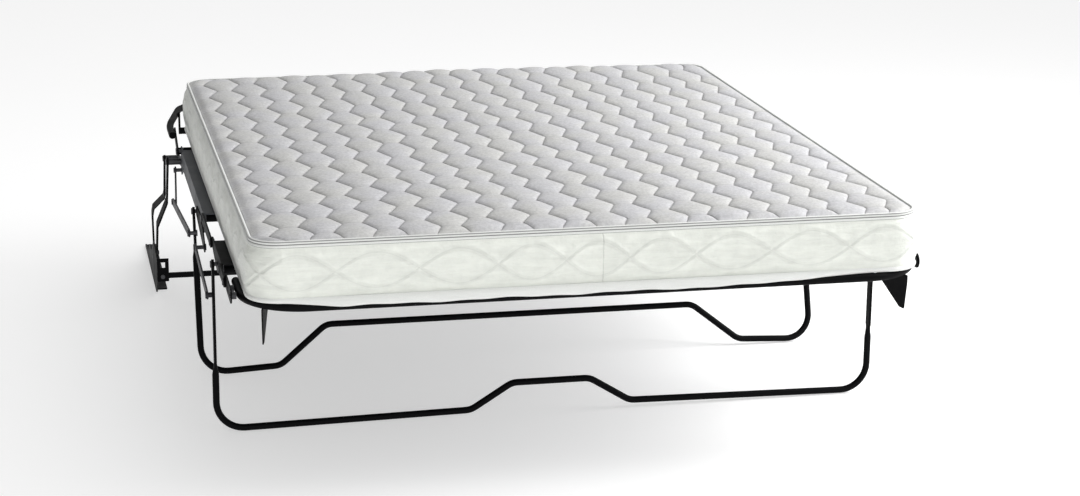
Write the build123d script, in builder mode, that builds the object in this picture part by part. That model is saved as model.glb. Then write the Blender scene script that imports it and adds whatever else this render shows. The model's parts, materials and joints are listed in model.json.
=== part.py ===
"""Fold-out sofa bed mechanism with its mattress, shown opened out.

X runs across the bed, +Y towards the head, +Z up, millimetres. The floor is Z = 0. Places along
the bed are measured from the foot edge of the mattress and moved to the middle of the whole part.
"""
from math import atan2, cos, degrees, dist, hypot, pi, radians, sin, sqrt
import os

from build123d import *

os.makedirs("parts", exist_ok=True)

# Mattress
MATTRESS_WIDTH = 1524
MATTRESS_LENGTH = 1829
MATTRESS_EDGE_HEIGHT = 133
MATTRESS_CROWN = 7
MATTRESS_CORNER = 75
SIDE_DRAW_IN = 5
CORNER_SLACK = 3
CHANNEL_COUNT = 16
CHANNEL_RISE = 4
SECTION_GAP = 0.4

# Tube, bar and sheet stock
FRAME_TUBE = 19
BODY_FRONT_TUBE = 24
BODY_REAR_TUBE = 40
HINGE_TUBE_STEP = 18
FOOT_TUBE_PAST = 14
LEG_TUBE = 16
CROSS_TUBE = 19
TUBE_WALL = 1.5
RAIL_SHEET = 3
PLATE = 4
ARM_BAR = 5
ARM_WIDTH = 25
LINK_WIDTH = 26
CONTROL_WIDTH = 20
JOGGLE_START = 0.35
JOGGLE_END = 0.6

# Heights
TUBE_Z = 424
SEAT_GAP = 0.3
DECK_SHEET = 1.5
RAIL_HEIGHT = 48
RAIL_FLANGE = 32
RAIL_LIP = 12
RAIL_LIP_IN = 40
MID_LIP_IN = 30
RAIL_NOSE_TALL = 14
RAIL_NOSE_LONG = 20
EYE_BRACE = 30
EYE_BRACE_DROP = 6
TAIL_ROOT = 60
LEG_EAR = 40
LEG_EAR_RISE = 8
HANGER_RIVET_PAST = 45
HANGER_NOTCH_NEAR = 45
HANGER_NOTCH_FAR = 120
HANGER_NOTCH_TOP = 60
HANGER_NOTCH_LOW = 40
HANGER_NOTCH_HIGH = 62
HINGE_Z = 428

# Steps across the bed: mattress side to rail, then rail to the inner face of each layer of flat parts
SIDE_ROOM = 22
HINGE_LINK_STEP = 4
LEG_STEP = 13
ROCKER_STEP = 17
CONTROL_LINK_STEP = 25
ARM_TOP_STEP = 36
ARM_FOOT_STEP = 61
BRACKET_STEP = 72
FOOT_TUBE_ROOM = 2
HEAD_TUBE_ROOM = 45
DECK_EDGE_IN = 72
BRIDGE_EDGE_IN = 17

# Places along the bed, from the foot edge of the mattress; those of the head end move with its length
FOOT_RAIL_Y = 3
FOOT_HINGE_Y = 220
MID_FRONT_HINGE_Y = 325
FRONT_LEG_Y = 440
MID_REAR_HINGE_Y = 560
BODY_HINGE_Y = 790
REAR_LEG_TOP_Y = 990
REAR_LEG_FOOT_Y = 865
HEAD_SECTION_LENGTH = 299
ARM_TOP_PAST_HINGE = 30
ARM_FOOT_PAST_TOP = 220
HEAD_LOOP_PAST = 131
HEAD_BEND_IN = 139
BRACKET_FRONT_PAST_TOP = 6
BRACKET_LENGTH = 584

# Pivot heights
ARM_TOP_Z = 392
ARM_FOOT_Z = 66
REAR_LINK_DY = 130
REAR_LINK_DZ = -20
KNEE_LOW_ALONG = 72
KNEE_LOW_ACROSS = 84
KNEE_HIGH_ALONG = 122
KNEE_HIGH_ACROSS = 16
REAR_CONTROL_DY = 25
REAR_CONTROL_DROP = 50
ROCKER_PAST_HINGE = 13
ROCKER_Z = 372
KNEE_DY = 14
KNEE_DROP = 92
FRONT_CONTROL_DROP = 73
HANGER_EYE_Y = 770
HANGER_EYE_Z = 360
REAR_LEG_TOP_Z = 395
FRONT_LEG_TOP_Z = 408
HEAD_LOOP_Z = 465

# Legs
LEG_CORNER = 65
LEG_BEND = 45
LEG_FLAT = 6
LEG_FLAT_WIDTH = 22
FRONT_FLAT_LENGTH = 235
REAR_FLAT_LENGTH = 85
FLAT_TAPER = 30
FRONT_RISE = 62
FRONT_RISE_TOP = 95
FRONT_RISE_FOOT = 195
FRONT_RISE_SAG = 9
REAR_RISE = 97
REAR_RISE_TOP_IN = 317
REAR_RISE_FOOT_IN = 197

# Frame corners
FOOT_CORNER = 135
HEAD_CORNER = 90
HEAD_TAPER = 52
HEAD_SWEEP = 600
HEAD_TUBE_START = 30
HEAD_FRONT_TUBE = 32
HEAD_REAR_TUBE_IN = 9
HEAD_LUG_LENGTH = 90

# Pivots and rivets
PIVOT_RADIUS = 5
PIVOT_CLEARANCE = 0.05
RIVET_HEAD = 8
SPACER_RADIUS = 8.5
BOSS_RADIUS = 6
HEAD_THICK = 2.5
LAYER_GAP = 0.5

# Mount bracket
BRACKET_SHEET = 4
MOUNT_HOLE = 3.5
MOUNT_HOLE_Z = 40
MOUNT_HOLE_PITCH = 200
CROSS_RAIL = 14
CROSS_RAIL_Z = 66
BRACKET_FLANGE = 28
BRACKET_FLANGE_TOP = 117
BRACKET_HEEL = 80
BRACKET_TAIL_HEIGHT = 6
BRACKET_TAIL_STEP = 95
BRACKET_TAIL_STEP_HEIGHT = 22
BRACKET_EYE_ROOM = 20
BRACKET_EYE_RISE = 18
BRACKET_EAR_RISE = 8
BRACKET_EAR_REACH = 55
BRACKET_EAR_HEIGHT = 62
FLANGE_WINDOW = 14
FLANGE_WINDOW_TALL = 16
RAIL_BOLT_IN = 11
BOLT_HEAD = 4
BOLT_HEAD_RADIUS = 6
BOLT_RADIUS = 3
ARM_STOP_UP = 40
STOP_RADIUS = 6
MOUNT_HOLE_LEAD = 115

# Deck springs
SPRING_WIRE = 2.2
SPRING_RADIUS = 6
SPRING_TURNS = 6
SPRING_PITCH = 6.4
SPRING_LEAD = 9
HEM_RADIUS = 4
FOOT_DECK_CORNER = 50

# Riveted plates at the sides of the foot frame
FOOT_PLATE_WIDTH = 34
PLATE_RIVET_FIRST = 45
PLATE_RIVET_LAST = 100

# Stop plates under the foot frame
STOP_DEPTH = 80
STOP_LENGTH = 158
STOP_SPLAY = 11.5
STOP_IN = 35
STOP_Y = 33

# Places of the head end along the bed
head_hinge_y = MATTRESS_LENGTH - HEAD_SECTION_LENGTH
arm_top_y = head_hinge_y + ARM_TOP_PAST_HINGE
arm_foot_y = arm_top_y + ARM_FOOT_PAST_TOP
bracket_front_y = arm_top_y + BRACKET_FRONT_PAST_TOP
bracket_tip_y = bracket_front_y + BRACKET_LENGTH

# Distances across the bed, from its centre line to the inner face of each layer of flat parts
mattress_side = MATTRESS_WIDTH / 2
web_x = mattress_side + SIDE_ROOM
hinge_link_x = web_x + HINGE_LINK_STEP
leg_x = web_x + LEG_STEP
control_link_x = web_x + CONTROL_LINK_STEP
rocker_x = web_x + ROCKER_STEP
arm_top_x = web_x + ARM_TOP_STEP
arm_foot_x = web_x + ARM_FOOT_STEP
bracket_x = web_x + BRACKET_STEP
foot_tube_x = mattress_side + FOOT_TUBE_ROOM
head_tube_x = mattress_side + HEAD_TUBE_ROOM
deck_edge_x = mattress_side - DECK_EDGE_IN
bridge_edge_x = mattress_side - BRIDGE_EDGE_IN
stop_x = foot_tube_x - STOP_IN

tube_top = TUBE_Z + FRAME_TUBE / 2
mattress_bottom = tube_top + SEAT_GAP
mattress_top = mattress_bottom + MATTRESS_EDGE_HEIGHT
rail_top = tube_top
rail_bottom = rail_top - RAIL_HEIGHT
flange_under = rail_top - RAIL_SHEET
deck_under = flange_under
deck_top = deck_under + DECK_SHEET
cross_z = deck_under - SEAT_GAP - CROSS_TUBE / 2
eye = LINK_WIDTH / 2
hole = PIVOT_RADIUS + PIVOT_CLEARANCE
foot_front_y = FOOT_RAIL_Y - FRAME_TUBE / 2
middle_y = (foot_front_y + bracket_tip_y) / 2
web_outer = web_x + RAIL_SHEET
flange_inner = web_outer - RAIL_FLANGE
SIDES = {"left": -1, "right": 1}


def at(y):
    """Row-frame Y of a place measured from the foot edge of the mattress."""
    return y - middle_y


def layer(side, inner, thick):
    """Plane with X along the bed and Y up, from which a flat part is thickened towards +X."""
    return Plane.YZ.offset(inner if side > 0 else -inner - thick)


def slot_between(a, b, width):
    """Add a round-ended strip between two places to the sketch in hand."""
    with Locations(((a[0] + b[0]) / 2, (a[1] + b[1]) / 2)):
        SlotCenterToCenter(dist(a, b), width, rotation=degrees(atan2(b[1] - a[1], b[0] - a[0])))


def flat_link(side, inner, thick, points, width, holes):
    """Flat bar that follows the points, with round ends and a hole at each pivot."""
    with BuildPart() as link:
        with BuildSketch(layer(side, inner, thick)):
            for a, b in zip(points, points[1:]):
                slot_between(a, b, width)
            with Locations(*holes):
                Circle(hole, mode=Mode.SUBTRACT)
        extrude(amount=thick)
    return link.part


def rivet(side, y, z, inner, outer, shank=PIVOT_RADIUS, head=RIVET_HEAD, flush=False, spacer=None):
    """Pin along X between two distances, with a head past each end unless flush outside, and room for a spacer."""
    lengths = [(inner - HEAD_THICK, HEAD_THICK, head), (inner, outer - inner, shank)]
    if not flush:
        lengths.append((outer, HEAD_THICK, head))
    if spacer:
        lengths.append((spacer[0], spacer[1] - spacer[0], SPACER_RADIUS))
    with BuildPart() as pin:
        for start, length, radius in lengths:
            with BuildSketch(layer(side, start, length)):
                with Locations((y, z)):
                    Circle(radius)
            extrude(amount=length)
    return pin.part


def cross_tube(y, z, reach, diameter, wall):
    """Straight round tube across the bed."""
    with BuildPart() as tube:
        with BuildSketch(Plane.YZ):
            with Locations((y, z)):
                Circle(diameter / 2)
                Circle(diameter / 2 - wall, mode=Mode.SUBTRACT)
        extrude(amount=reach, both=True)
    return tube.part


def save(part, name):
    """Label one finished piece and write it."""
    part.label = name
    export_step(part, f"parts/{name}.step")


def save_group(pieces, name):
    """Write separate solids that share one node."""
    save(Compound(children=pieces), name)


# Pivots in the side view, as (Y, Z)
arm_top = (at(arm_top_y), ARM_TOP_Z)
arm_foot = (at(arm_foot_y), ARM_FOOT_Z)
link_top = (arm_top[0] + REAR_LINK_DY, arm_top[1] + REAR_LINK_DZ)
link_foot = (arm_foot[0] + REAR_LINK_DY, arm_foot[1] + REAR_LINK_DZ)
body_hinge = (at(BODY_HINGE_Y), HINGE_Z)
mid_rear_hinge = (at(MID_REAR_HINGE_Y), HINGE_Z)
mid_front_hinge = (at(MID_FRONT_HINGE_Y), HINGE_Z)
foot_hinge = (at(FOOT_HINGE_Y), HINGE_Z)
head_hinge = (at(head_hinge_y), HINGE_Z)
rear_leg_top = (at(REAR_LEG_TOP_Y), REAR_LEG_TOP_Z)
front_leg_top = (at(FRONT_LEG_Y), FRONT_LEG_TOP_Z)
rear_control = (rear_leg_top[0] - REAR_CONTROL_DY, rear_leg_top[1] - REAR_CONTROL_DROP)
rocker_top = (at(head_hinge_y + ROCKER_PAST_HINGE), ROCKER_Z)
knee = (rocker_top[0] + KNEE_DY, rocker_top[1] - KNEE_DROP)
front_control = (front_leg_top[0], front_leg_top[1] - FRONT_CONTROL_DROP)
hanger_eye = (at(HANGER_EYE_Y), HANGER_EYE_Z)
hanger_rivet = (body_hinge[0] + HANGER_RIVET_PAST, REAR_LEG_TOP_Z + LEG_EAR_RISE)


def mount_bracket(side):
    """Sofa-side plate that stands on the floor, with a foot flange and a front flange."""
    front, tip = at(bracket_front_y), at(bracket_tip_y)
    heel = front + BRACKET_HEEL
    with BuildPart() as bracket:
        with BuildSketch(layer(side, bracket_x, BRACKET_SHEET)):
            with BuildLine():
                Polyline(
                    (front, CROSS_RAIL_Z - CROSS_RAIL),
                    (heel, 0),
                    (tip, 0),
                    (tip, BRACKET_TAIL_HEIGHT),
                    (link_foot[0] + BRACKET_TAIL_STEP, BRACKET_TAIL_STEP_HEIGHT),
                    (link_foot[0] + BRACKET_EYE_ROOM, link_foot[1] + BRACKET_EYE_RISE),
                    (arm_foot[0] + 2 * BRACKET_EYE_ROOM, arm_foot[1] + BRACKET_EAR_RISE),
                    (arm_foot[0] - BRACKET_EAR_REACH, arm_foot[1] + BRACKET_EAR_HEIGHT),
                    (front, BRACKET_FLANGE_TOP),
                    close=True,
                )
            make_face()
            with Locations(arm_foot, link_foot, stop_place):
                Circle(hole, mode=Mode.SUBTRACT)
            with Locations(*mount_holes):
                Circle(MOUNT_HOLE, mode=Mode.SUBTRACT)
        extrude(amount=BRACKET_SHEET)
        with BuildSketch(layer(side, bracket_x - BRACKET_FLANGE, BRACKET_FLANGE)):
            with Locations(((heel + BRACKET_EYE_ROOM + tip) / 2, BRACKET_SHEET / 2)):
                Rectangle(tip - heel - BRACKET_EYE_ROOM, BRACKET_SHEET)
        extrude(amount=BRACKET_FLANGE)
        flange_middle = (CROSS_RAIL_Z - CROSS_RAIL + BRACKET_FLANGE_TOP) / 2
        with BuildSketch(Plane.XZ.offset(-front)):
            with Locations((side * (bracket_x - BRACKET_FLANGE / 2 + 1), flange_middle)):
                Rectangle(BRACKET_FLANGE + 2, BRACKET_FLANGE_TOP - CROSS_RAIL_Z + CROSS_RAIL)
            with Locations((side * rail_bolt_x, flange_middle + FLANGE_WINDOW)):
                Rectangle(FLANGE_WINDOW, FLANGE_WINDOW_TALL, mode=Mode.SUBTRACT)
            with Locations((side * rail_bolt_x, CROSS_RAIL_Z)):
                Circle(MOUNT_HOLE, mode=Mode.SUBTRACT)
        extrude(amount=-BRACKET_SHEET)
    return bracket.part


arm_direction = (arm_top[0] - arm_foot[0], arm_top[1] - arm_foot[1])
arm_length = hypot(*arm_direction)
arm_unit = (arm_direction[0] / arm_length, arm_direction[1] / arm_length)
rail_bolt_x = bracket_x - RAIL_BOLT_IN
stop_reach = ARM_WIDTH / 2 + STOP_RADIUS + SEAT_GAP
stop_place = (
    arm_foot[0] + ARM_STOP_UP * arm_unit[0] - stop_reach * arm_unit[1],
    arm_foot[1] + ARM_STOP_UP * arm_unit[1] + stop_reach * arm_unit[0],
)
first_mount_hole = arm_foot[0] - MOUNT_HOLE_LEAD
mount_holes = [(first_mount_hole, MOUNT_HOLE_Z), (first_mount_hole + MOUNT_HOLE_PITCH, MOUNT_HOLE_Z)]

for word, side in SIDES.items():
    save(mount_bracket(side), f"mount_bracket_{word}")

with BuildPart() as cross_rail:
    with BuildSketch(Plane.YZ):
        with Locations((at(bracket_front_y) + BRACKET_SHEET + SEAT_GAP + CROSS_RAIL / 2, CROSS_RAIL_Z)):
            RectangleRounded(CROSS_RAIL, CROSS_RAIL, 2.5)
            RectangleRounded(CROSS_RAIL - 2 * TUBE_WALL, CROSS_RAIL - 2 * TUBE_WALL, 1, mode=Mode.SUBTRACT)
    extrude(amount=bracket_x - SEAT_GAP, both=True)
    with BuildSketch(Plane.XZ.offset(-at(bracket_front_y))):
        with Locations((rail_bolt_x, CROSS_RAIL_Z), (-rail_bolt_x, CROSS_RAIL_Z)):
            Circle(MOUNT_HOLE)
    extrude(amount=-2 * CROSS_RAIL, mode=Mode.SUBTRACT)
save(cross_rail.part, "cross_rail")

bolts = []
for side in SIDES.values():
    clamped = BRACKET_SHEET + SEAT_GAP + CROSS_RAIL
    bolt_steps = (
        (-BOLT_HEAD, BOLT_HEAD, BOLT_HEAD_RADIUS), (0, clamped, BOLT_RADIUS), (clamped, BOLT_HEAD, BOLT_HEAD_RADIUS)
    )
    with BuildPart() as bolt:
        for start, length, radius in bolt_steps:
            with BuildSketch(Plane.XZ.offset(-at(bracket_front_y) - start)):
                with Locations((side * rail_bolt_x, CROSS_RAIL_Z)):
                    Circle(radius)
            extrude(amount=-length)
    bolts.append(bolt.part)
save_group(bolts, "rail_bolts")

studs = []
for side in SIDES.values():
    for y, z in (arm_foot, link_foot):
        studs.append(rivet(side, y, z, arm_foot_x - LAYER_GAP, bracket_x + BRACKET_SHEET, flush=True))
    y, z = stop_place
    with BuildPart() as stop:
        with BuildSketch(layer(side, arm_foot_x - 2, bracket_x - arm_foot_x + 2)):
            with Locations((y, z)):
                Circle(STOP_RADIUS)
        extrude(amount=bracket_x - arm_foot_x + 2)
        with BuildSketch(layer(side, bracket_x, BRACKET_SHEET)):
            with Locations((y, z)):
                Circle(PIVOT_RADIUS)
        extrude(amount=BRACKET_SHEET)
    studs.append(stop.part)
save_group(studs, "bracket_studs")


def joggled_bar(side, foot, top, outline, holes, thick, width):
    """Flat bar that stands further out at its foot than at its top, cut to the given strips."""
    run = dist(foot, top)
    along = Vector(0, (top[0] - foot[0]) / run, (top[1] - foot[1]) / run)
    edge_plane = Plane(origin=(0, foot[0], foot[1]), x_dir=along, z_dir=along.cross(Vector(1, 0, 0)))
    out = 1 if edge_plane.y_dir.X > 0 else -1
    low, high = side * out * arm_foot_x, side * out * arm_top_x
    thickness = side * out * thick
    past = run / 2
    with BuildPart() as bar:
        with BuildSketch(edge_plane):
            with BuildLine():
                Polyline(
                    (-past, low),
                    (run * JOGGLE_START, low),
                    (run * JOGGLE_END, high),
                    (run + past, high),
                    (run + past, high + thickness),
                    (run * JOGGLE_END, high + thickness),
                    (run * JOGGLE_START, low + thickness),
                    (-past, low + thickness),
                    close=True,
                )
            make_face()
        extrude(amount=past, both=True)
        with BuildSketch(Plane.YZ):
            for a, b in zip(outline, outline[1:]):
                slot_between(a, b, width)
            with Locations(*holes):
                Circle(hole, mode=Mode.SUBTRACT)
        extrude(amount=side * (bracket_x + BRACKET_SHEET), mode=Mode.INTERSECT)
    return bar.part


knee_high = (
    link_top[0] - KNEE_HIGH_ALONG * arm_unit[0] - KNEE_HIGH_ACROSS * arm_unit[1],
    link_top[1] - KNEE_HIGH_ALONG * arm_unit[1] + KNEE_HIGH_ACROSS * arm_unit[0],
)
knee_low = (
    link_foot[0] + KNEE_LOW_ALONG * arm_unit[0] + KNEE_LOW_ACROSS * arm_unit[1],
    link_foot[1] + KNEE_LOW_ALONG * arm_unit[1] - KNEE_LOW_ACROSS * arm_unit[0],
)
for word, side in SIDES.items():
    arm = joggled_bar(side, arm_foot, arm_top, (arm_foot, arm_top), (arm_foot, arm_top), ARM_BAR, ARM_WIDTH)
    save(arm, f"lift_arm_{word}")
    crank = (link_foot, knee_low, knee_high, link_top)
    link = joggled_bar(side, link_foot, link_top, crank, (link_foot, link_top), ARM_BAR, CONTROL_WIDTH)
    save(link, f"rear_link_{word}")


def side_rail(side):
    """Angle rail of the body section, with its hinge eyes and its low tail."""
    front, rear = body_hinge[0], head_hinge[0]
    with BuildPart() as rail:
        with BuildSketch(layer(side, web_x, RAIL_SHEET)):
            with BuildLine():
                Polyline(
                    (front, rail_top),
                    (front, rail_bottom + RAIL_NOSE_TALL),
                    (front + RAIL_NOSE_LONG, rail_bottom),
                    (rear + EYE_BRACE, rail_bottom),
                    (rear, rail_top),
                    close=True,
                )
            make_face()
            slot_between(body_hinge, (body_hinge[0] + EYE_BRACE, HINGE_Z - EYE_BRACE_DROP), LINK_WIDTH)
            slot_between(head_hinge, (head_hinge[0] - EYE_BRACE, HINGE_Z - EYE_BRACE_DROP), LINK_WIDTH)
            slot_between(arm_top, link_top, LINK_WIDTH)
            slot_between(arm_top, (rocker_top[0] - TAIL_ROOT, rail_bottom + eye), LINK_WIDTH)
            slot_between(rocker_top, (rocker_top[0] - TAIL_ROOT, rail_bottom + eye), LINK_WIDTH)
            slot_between(rear_leg_top, (rear_leg_top[0] + LEG_EAR, REAR_LEG_TOP_Z + LEG_EAR_RISE), LINK_WIDTH)
            with Locations(body_hinge, head_hinge, arm_top, link_top, rocker_top, rear_leg_top):
                Circle(hole, mode=Mode.SUBTRACT)
        extrude(amount=RAIL_SHEET)
        start, end = front + eye + PLATE, rear - eye - PLATE
        with BuildSketch(layer(side, flange_inner, RAIL_FLANGE)):
            with Locations(((start + end) / 2, rail_top - RAIL_SHEET / 2)):
                Rectangle(end - start, RAIL_SHEET)
        extrude(amount=RAIL_FLANGE)
        with BuildSketch(layer(side, flange_inner, RAIL_SHEET)):
            with Locations(((start + end) / 2, rail_top - RAIL_LIP / 2)):
                Rectangle(end - start - 2 * RAIL_LIP_IN, RAIL_LIP)
        extrude(amount=RAIL_SHEET)
    return rail.part


def leg_hanger(side):
    """Plate riveted outside the side rail: it hangs the rear leg and the front leg's link."""
    with BuildPart() as hanger:
        with BuildSketch(layer(side, web_outer + LAYER_GAP, RAIL_SHEET)):
            for a in (hanger_rivet, hanger_eye, rear_leg_top):
                with Locations(a):
                    Circle(eye)
            make_hull()
            with Locations(hanger_eye, rear_leg_top, hanger_rivet):
                Circle(hole, mode=Mode.SUBTRACT)
            with BuildLine():
                Polyline(
                    (hanger_eye[0] + HANGER_NOTCH_NEAR, hanger_eye[1] + HANGER_NOTCH_LOW),
                    (hanger_eye[0] + HANGER_NOTCH_TOP, hanger_eye[1] + HANGER_NOTCH_HIGH),
                    (hanger_eye[0] + HANGER_NOTCH_FAR, hanger_eye[1] + HANGER_NOTCH_HIGH),
                    close=True,
                )
            make_face(mode=Mode.SUBTRACT)
        extrude(amount=RAIL_SHEET)
    return hanger.part


for word, side in SIDES.items():
    save(side_rail(side), f"side_rail_{word}")
    save(leg_hanger(side), f"leg_hanger_{word}")

body_front_tube_y = body_hinge[0] + BODY_FRONT_TUBE
body_rear_tube_y = head_hinge[0] - BODY_REAR_TUBE
save(cross_tube(body_front_tube_y, cross_z, web_x - SEAT_GAP, CROSS_TUBE, TUBE_WALL), "body_front_tube")
save(cross_tube(body_rear_tube_y, cross_z, web_x - SEAT_GAP, CROSS_TUBE, TUBE_WALL), "body_rear_tube")

arm_pin_out = arm_top_x + ARM_BAR + LAYER_GAP
body_pins = []
for side in SIDES.values():
    body_pins += [
        rivet(side, *body_hinge, web_x, hinge_link_x + PLATE + LAYER_GAP),
        rivet(side, *head_hinge, web_x, leg_x + 2),
        rivet(side, *arm_top, web_x, arm_pin_out, spacer=(web_outer, arm_top_x - LAYER_GAP)),
        rivet(side, *link_top, web_x, arm_pin_out, spacer=(web_outer, arm_top_x - LAYER_GAP)),
        rivet(side, *rocker_top, web_x, rocker_x + PLATE + LAYER_GAP, head=7),
        rivet(side, *rear_leg_top, web_x, leg_x + LEG_FLAT / 2 + LAYER_GAP),
        rivet(side, *hanger_eye, web_outer + LAYER_GAP, control_link_x + PLATE + LAYER_GAP),
    ]
save_group(body_pins, "body_pins")


def hinge_links(side, rear, front):
    """Two-eyed link of a folding joint."""
    return flat_link(side, hinge_link_x, PLATE, (rear, front), LINK_WIDTH, (rear, front))


for word, side in SIDES.items():
    save(hinge_links(side, body_hinge, mid_rear_hinge), f"mid_link_{word}")
    save(hinge_links(side, mid_front_hinge, foot_hinge), f"foot_link_{word}")


def mid_rail(side):
    """Side plate of the middle section, deep at the front leg's pivot, with an angle flange."""
    with BuildPart() as rail:
        with BuildSketch(layer(side, web_x, RAIL_SHEET)):
            for place in (mid_rear_hinge, mid_front_hinge, (front_leg_top[0], front_leg_top[1] - LEG_EAR_RISE)):
                with Locations(place):
                    Circle(eye)
            make_hull()
            with Locations(mid_rear_hinge, mid_front_hinge, front_leg_top):
                Circle(hole, mode=Mode.SUBTRACT)
        extrude(amount=RAIL_SHEET)
        start, end = mid_front_hinge[0] + RIVET_HEAD + 1, mid_rear_hinge[0] - RIVET_HEAD - 1
        with BuildSketch(layer(side, flange_inner, RAIL_FLANGE)):
            with Locations(((start + end) / 2, rail_top - RAIL_SHEET / 2)):
                Rectangle(end - start, RAIL_SHEET)
        extrude(amount=RAIL_FLANGE)
        with BuildSketch(layer(side, flange_inner, RAIL_SHEET)):
            with Locations(((start + end) / 2, rail_top - RAIL_LIP / 2)):
                Rectangle(end - start - 2 * MID_LIP_IN, RAIL_LIP)
        extrude(amount=RAIL_SHEET)
    return rail.part


for word, side in SIDES.items():
    save(mid_rail(side), f"mid_rail_{word}")
mid_front_tube_y = mid_front_hinge[0] + HINGE_TUBE_STEP
mid_rear_tube_y = mid_rear_hinge[0] - HINGE_TUBE_STEP
save(cross_tube(mid_front_tube_y, cross_z, web_x - SEAT_GAP, CROSS_TUBE, TUBE_WALL), "mid_front_tube")
save(cross_tube(mid_rear_tube_y, cross_z, web_x - SEAT_GAP, CROSS_TUBE, TUBE_WALL), "mid_rear_tube")
mid_pins = []
for side in SIDES.values():
    mid_pins += [
        rivet(side, *mid_rear_hinge, web_x, hinge_link_x + PLATE + LAYER_GAP),
        rivet(side, *mid_front_hinge, web_x, hinge_link_x + PLATE + LAYER_GAP),
        rivet(side, *front_leg_top, web_x, leg_x + LEG_FLAT / 2 + LAYER_GAP),
    ]
save_group(mid_pins, "mid_pins")

# Foot frame: a U of tube with a cross tube, hung on a riveted plate at each side
foot_tube_end_y = foot_hinge[0] + FOOT_TUBE_PAST
foot_cross_y = foot_hinge[0] - HINGE_TUBE_STEP
with BuildPart() as foot_frame:
    with BuildLine() as foot_path:
        FilletPolyline(
            (-foot_tube_x, foot_tube_end_y, TUBE_Z),
            (-foot_tube_x, at(FOOT_RAIL_Y), TUBE_Z),
            (foot_tube_x, at(FOOT_RAIL_Y), TUBE_Z),
            (foot_tube_x, foot_tube_end_y, TUBE_Z),
            radius=FOOT_CORNER,
        )
    with BuildSketch(Plane(origin=foot_path.line @ 0, z_dir=foot_path.line % 0)):
        Circle(FRAME_TUBE / 2)
    sweep()
    with BuildSketch(Plane.YZ):
        with Locations((foot_cross_y, cross_z)):
            Circle(CROSS_TUBE / 2)
    extrude(amount=foot_tube_x, both=True)
save(foot_frame.part, "foot_frame")

plate_rivets = [(foot_hinge[0] - PLATE_RIVET_FIRST, TUBE_Z), (foot_hinge[0] - PLATE_RIVET_LAST, TUBE_Z)]
for word, side in SIDES.items():
    plate = flat_link(
        side, web_x, RAIL_SHEET, (foot_hinge, plate_rivets[1]), FOOT_PLATE_WIDTH, [foot_hinge, *plate_rivets]
    )
    save(plate, f"foot_hinge_plate_{word}")
foot_pins = []
for side in SIDES.values():
    foot_pins.append(rivet(side, *foot_hinge, web_x, hinge_link_x + PLATE + LAYER_GAP))
    for y, z in plate_rivets:
        with BuildPart() as collar:
            with BuildSketch(layer(side, foot_tube_x + FRAME_TUBE / 2, web_x - foot_tube_x - FRAME_TUBE / 2)):
                with Locations((y, z)):
                    Circle(RIVET_HEAD)
            extrude(amount=web_x - foot_tube_x - FRAME_TUBE / 2)
            with BuildSketch(layer(side, web_x, RAIL_SHEET + HEAD_THICK)):
                with Locations((y, z)):
                    Circle(PIVOT_RADIUS)
            extrude(amount=RAIL_SHEET + HEAD_THICK)
        foot_pins.append(collar.part)
save_group(foot_pins, "foot_pins")

for word, side in SIDES.items():
    splay = radians(STOP_SPLAY)
    run = Vector(-side * sin(splay), cos(splay), 0)
    stop_plane = Plane(origin=(side * stop_x, at(STOP_Y), 0), x_dir=run, z_dir=run.cross(Vector(0, 0, 1)))
    stop_top = TUBE_Z - FRAME_TUBE / 2
    with BuildPart() as stop_plate:
        with BuildSketch(stop_plane):
            with BuildLine():
                Polyline(
                    (0, stop_top),
                    (STOP_LENGTH, stop_top),
                    (STOP_LENGTH, stop_top - 8),
                    (26, stop_top - STOP_DEPTH),
                    (8, stop_top - STOP_DEPTH),
                    (0, stop_top - 16),
                    close=True,
                )
            make_face()
        extrude(amount=RAIL_SHEET)
    save(stop_plate.part, f"stop_plate_{word}")


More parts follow.
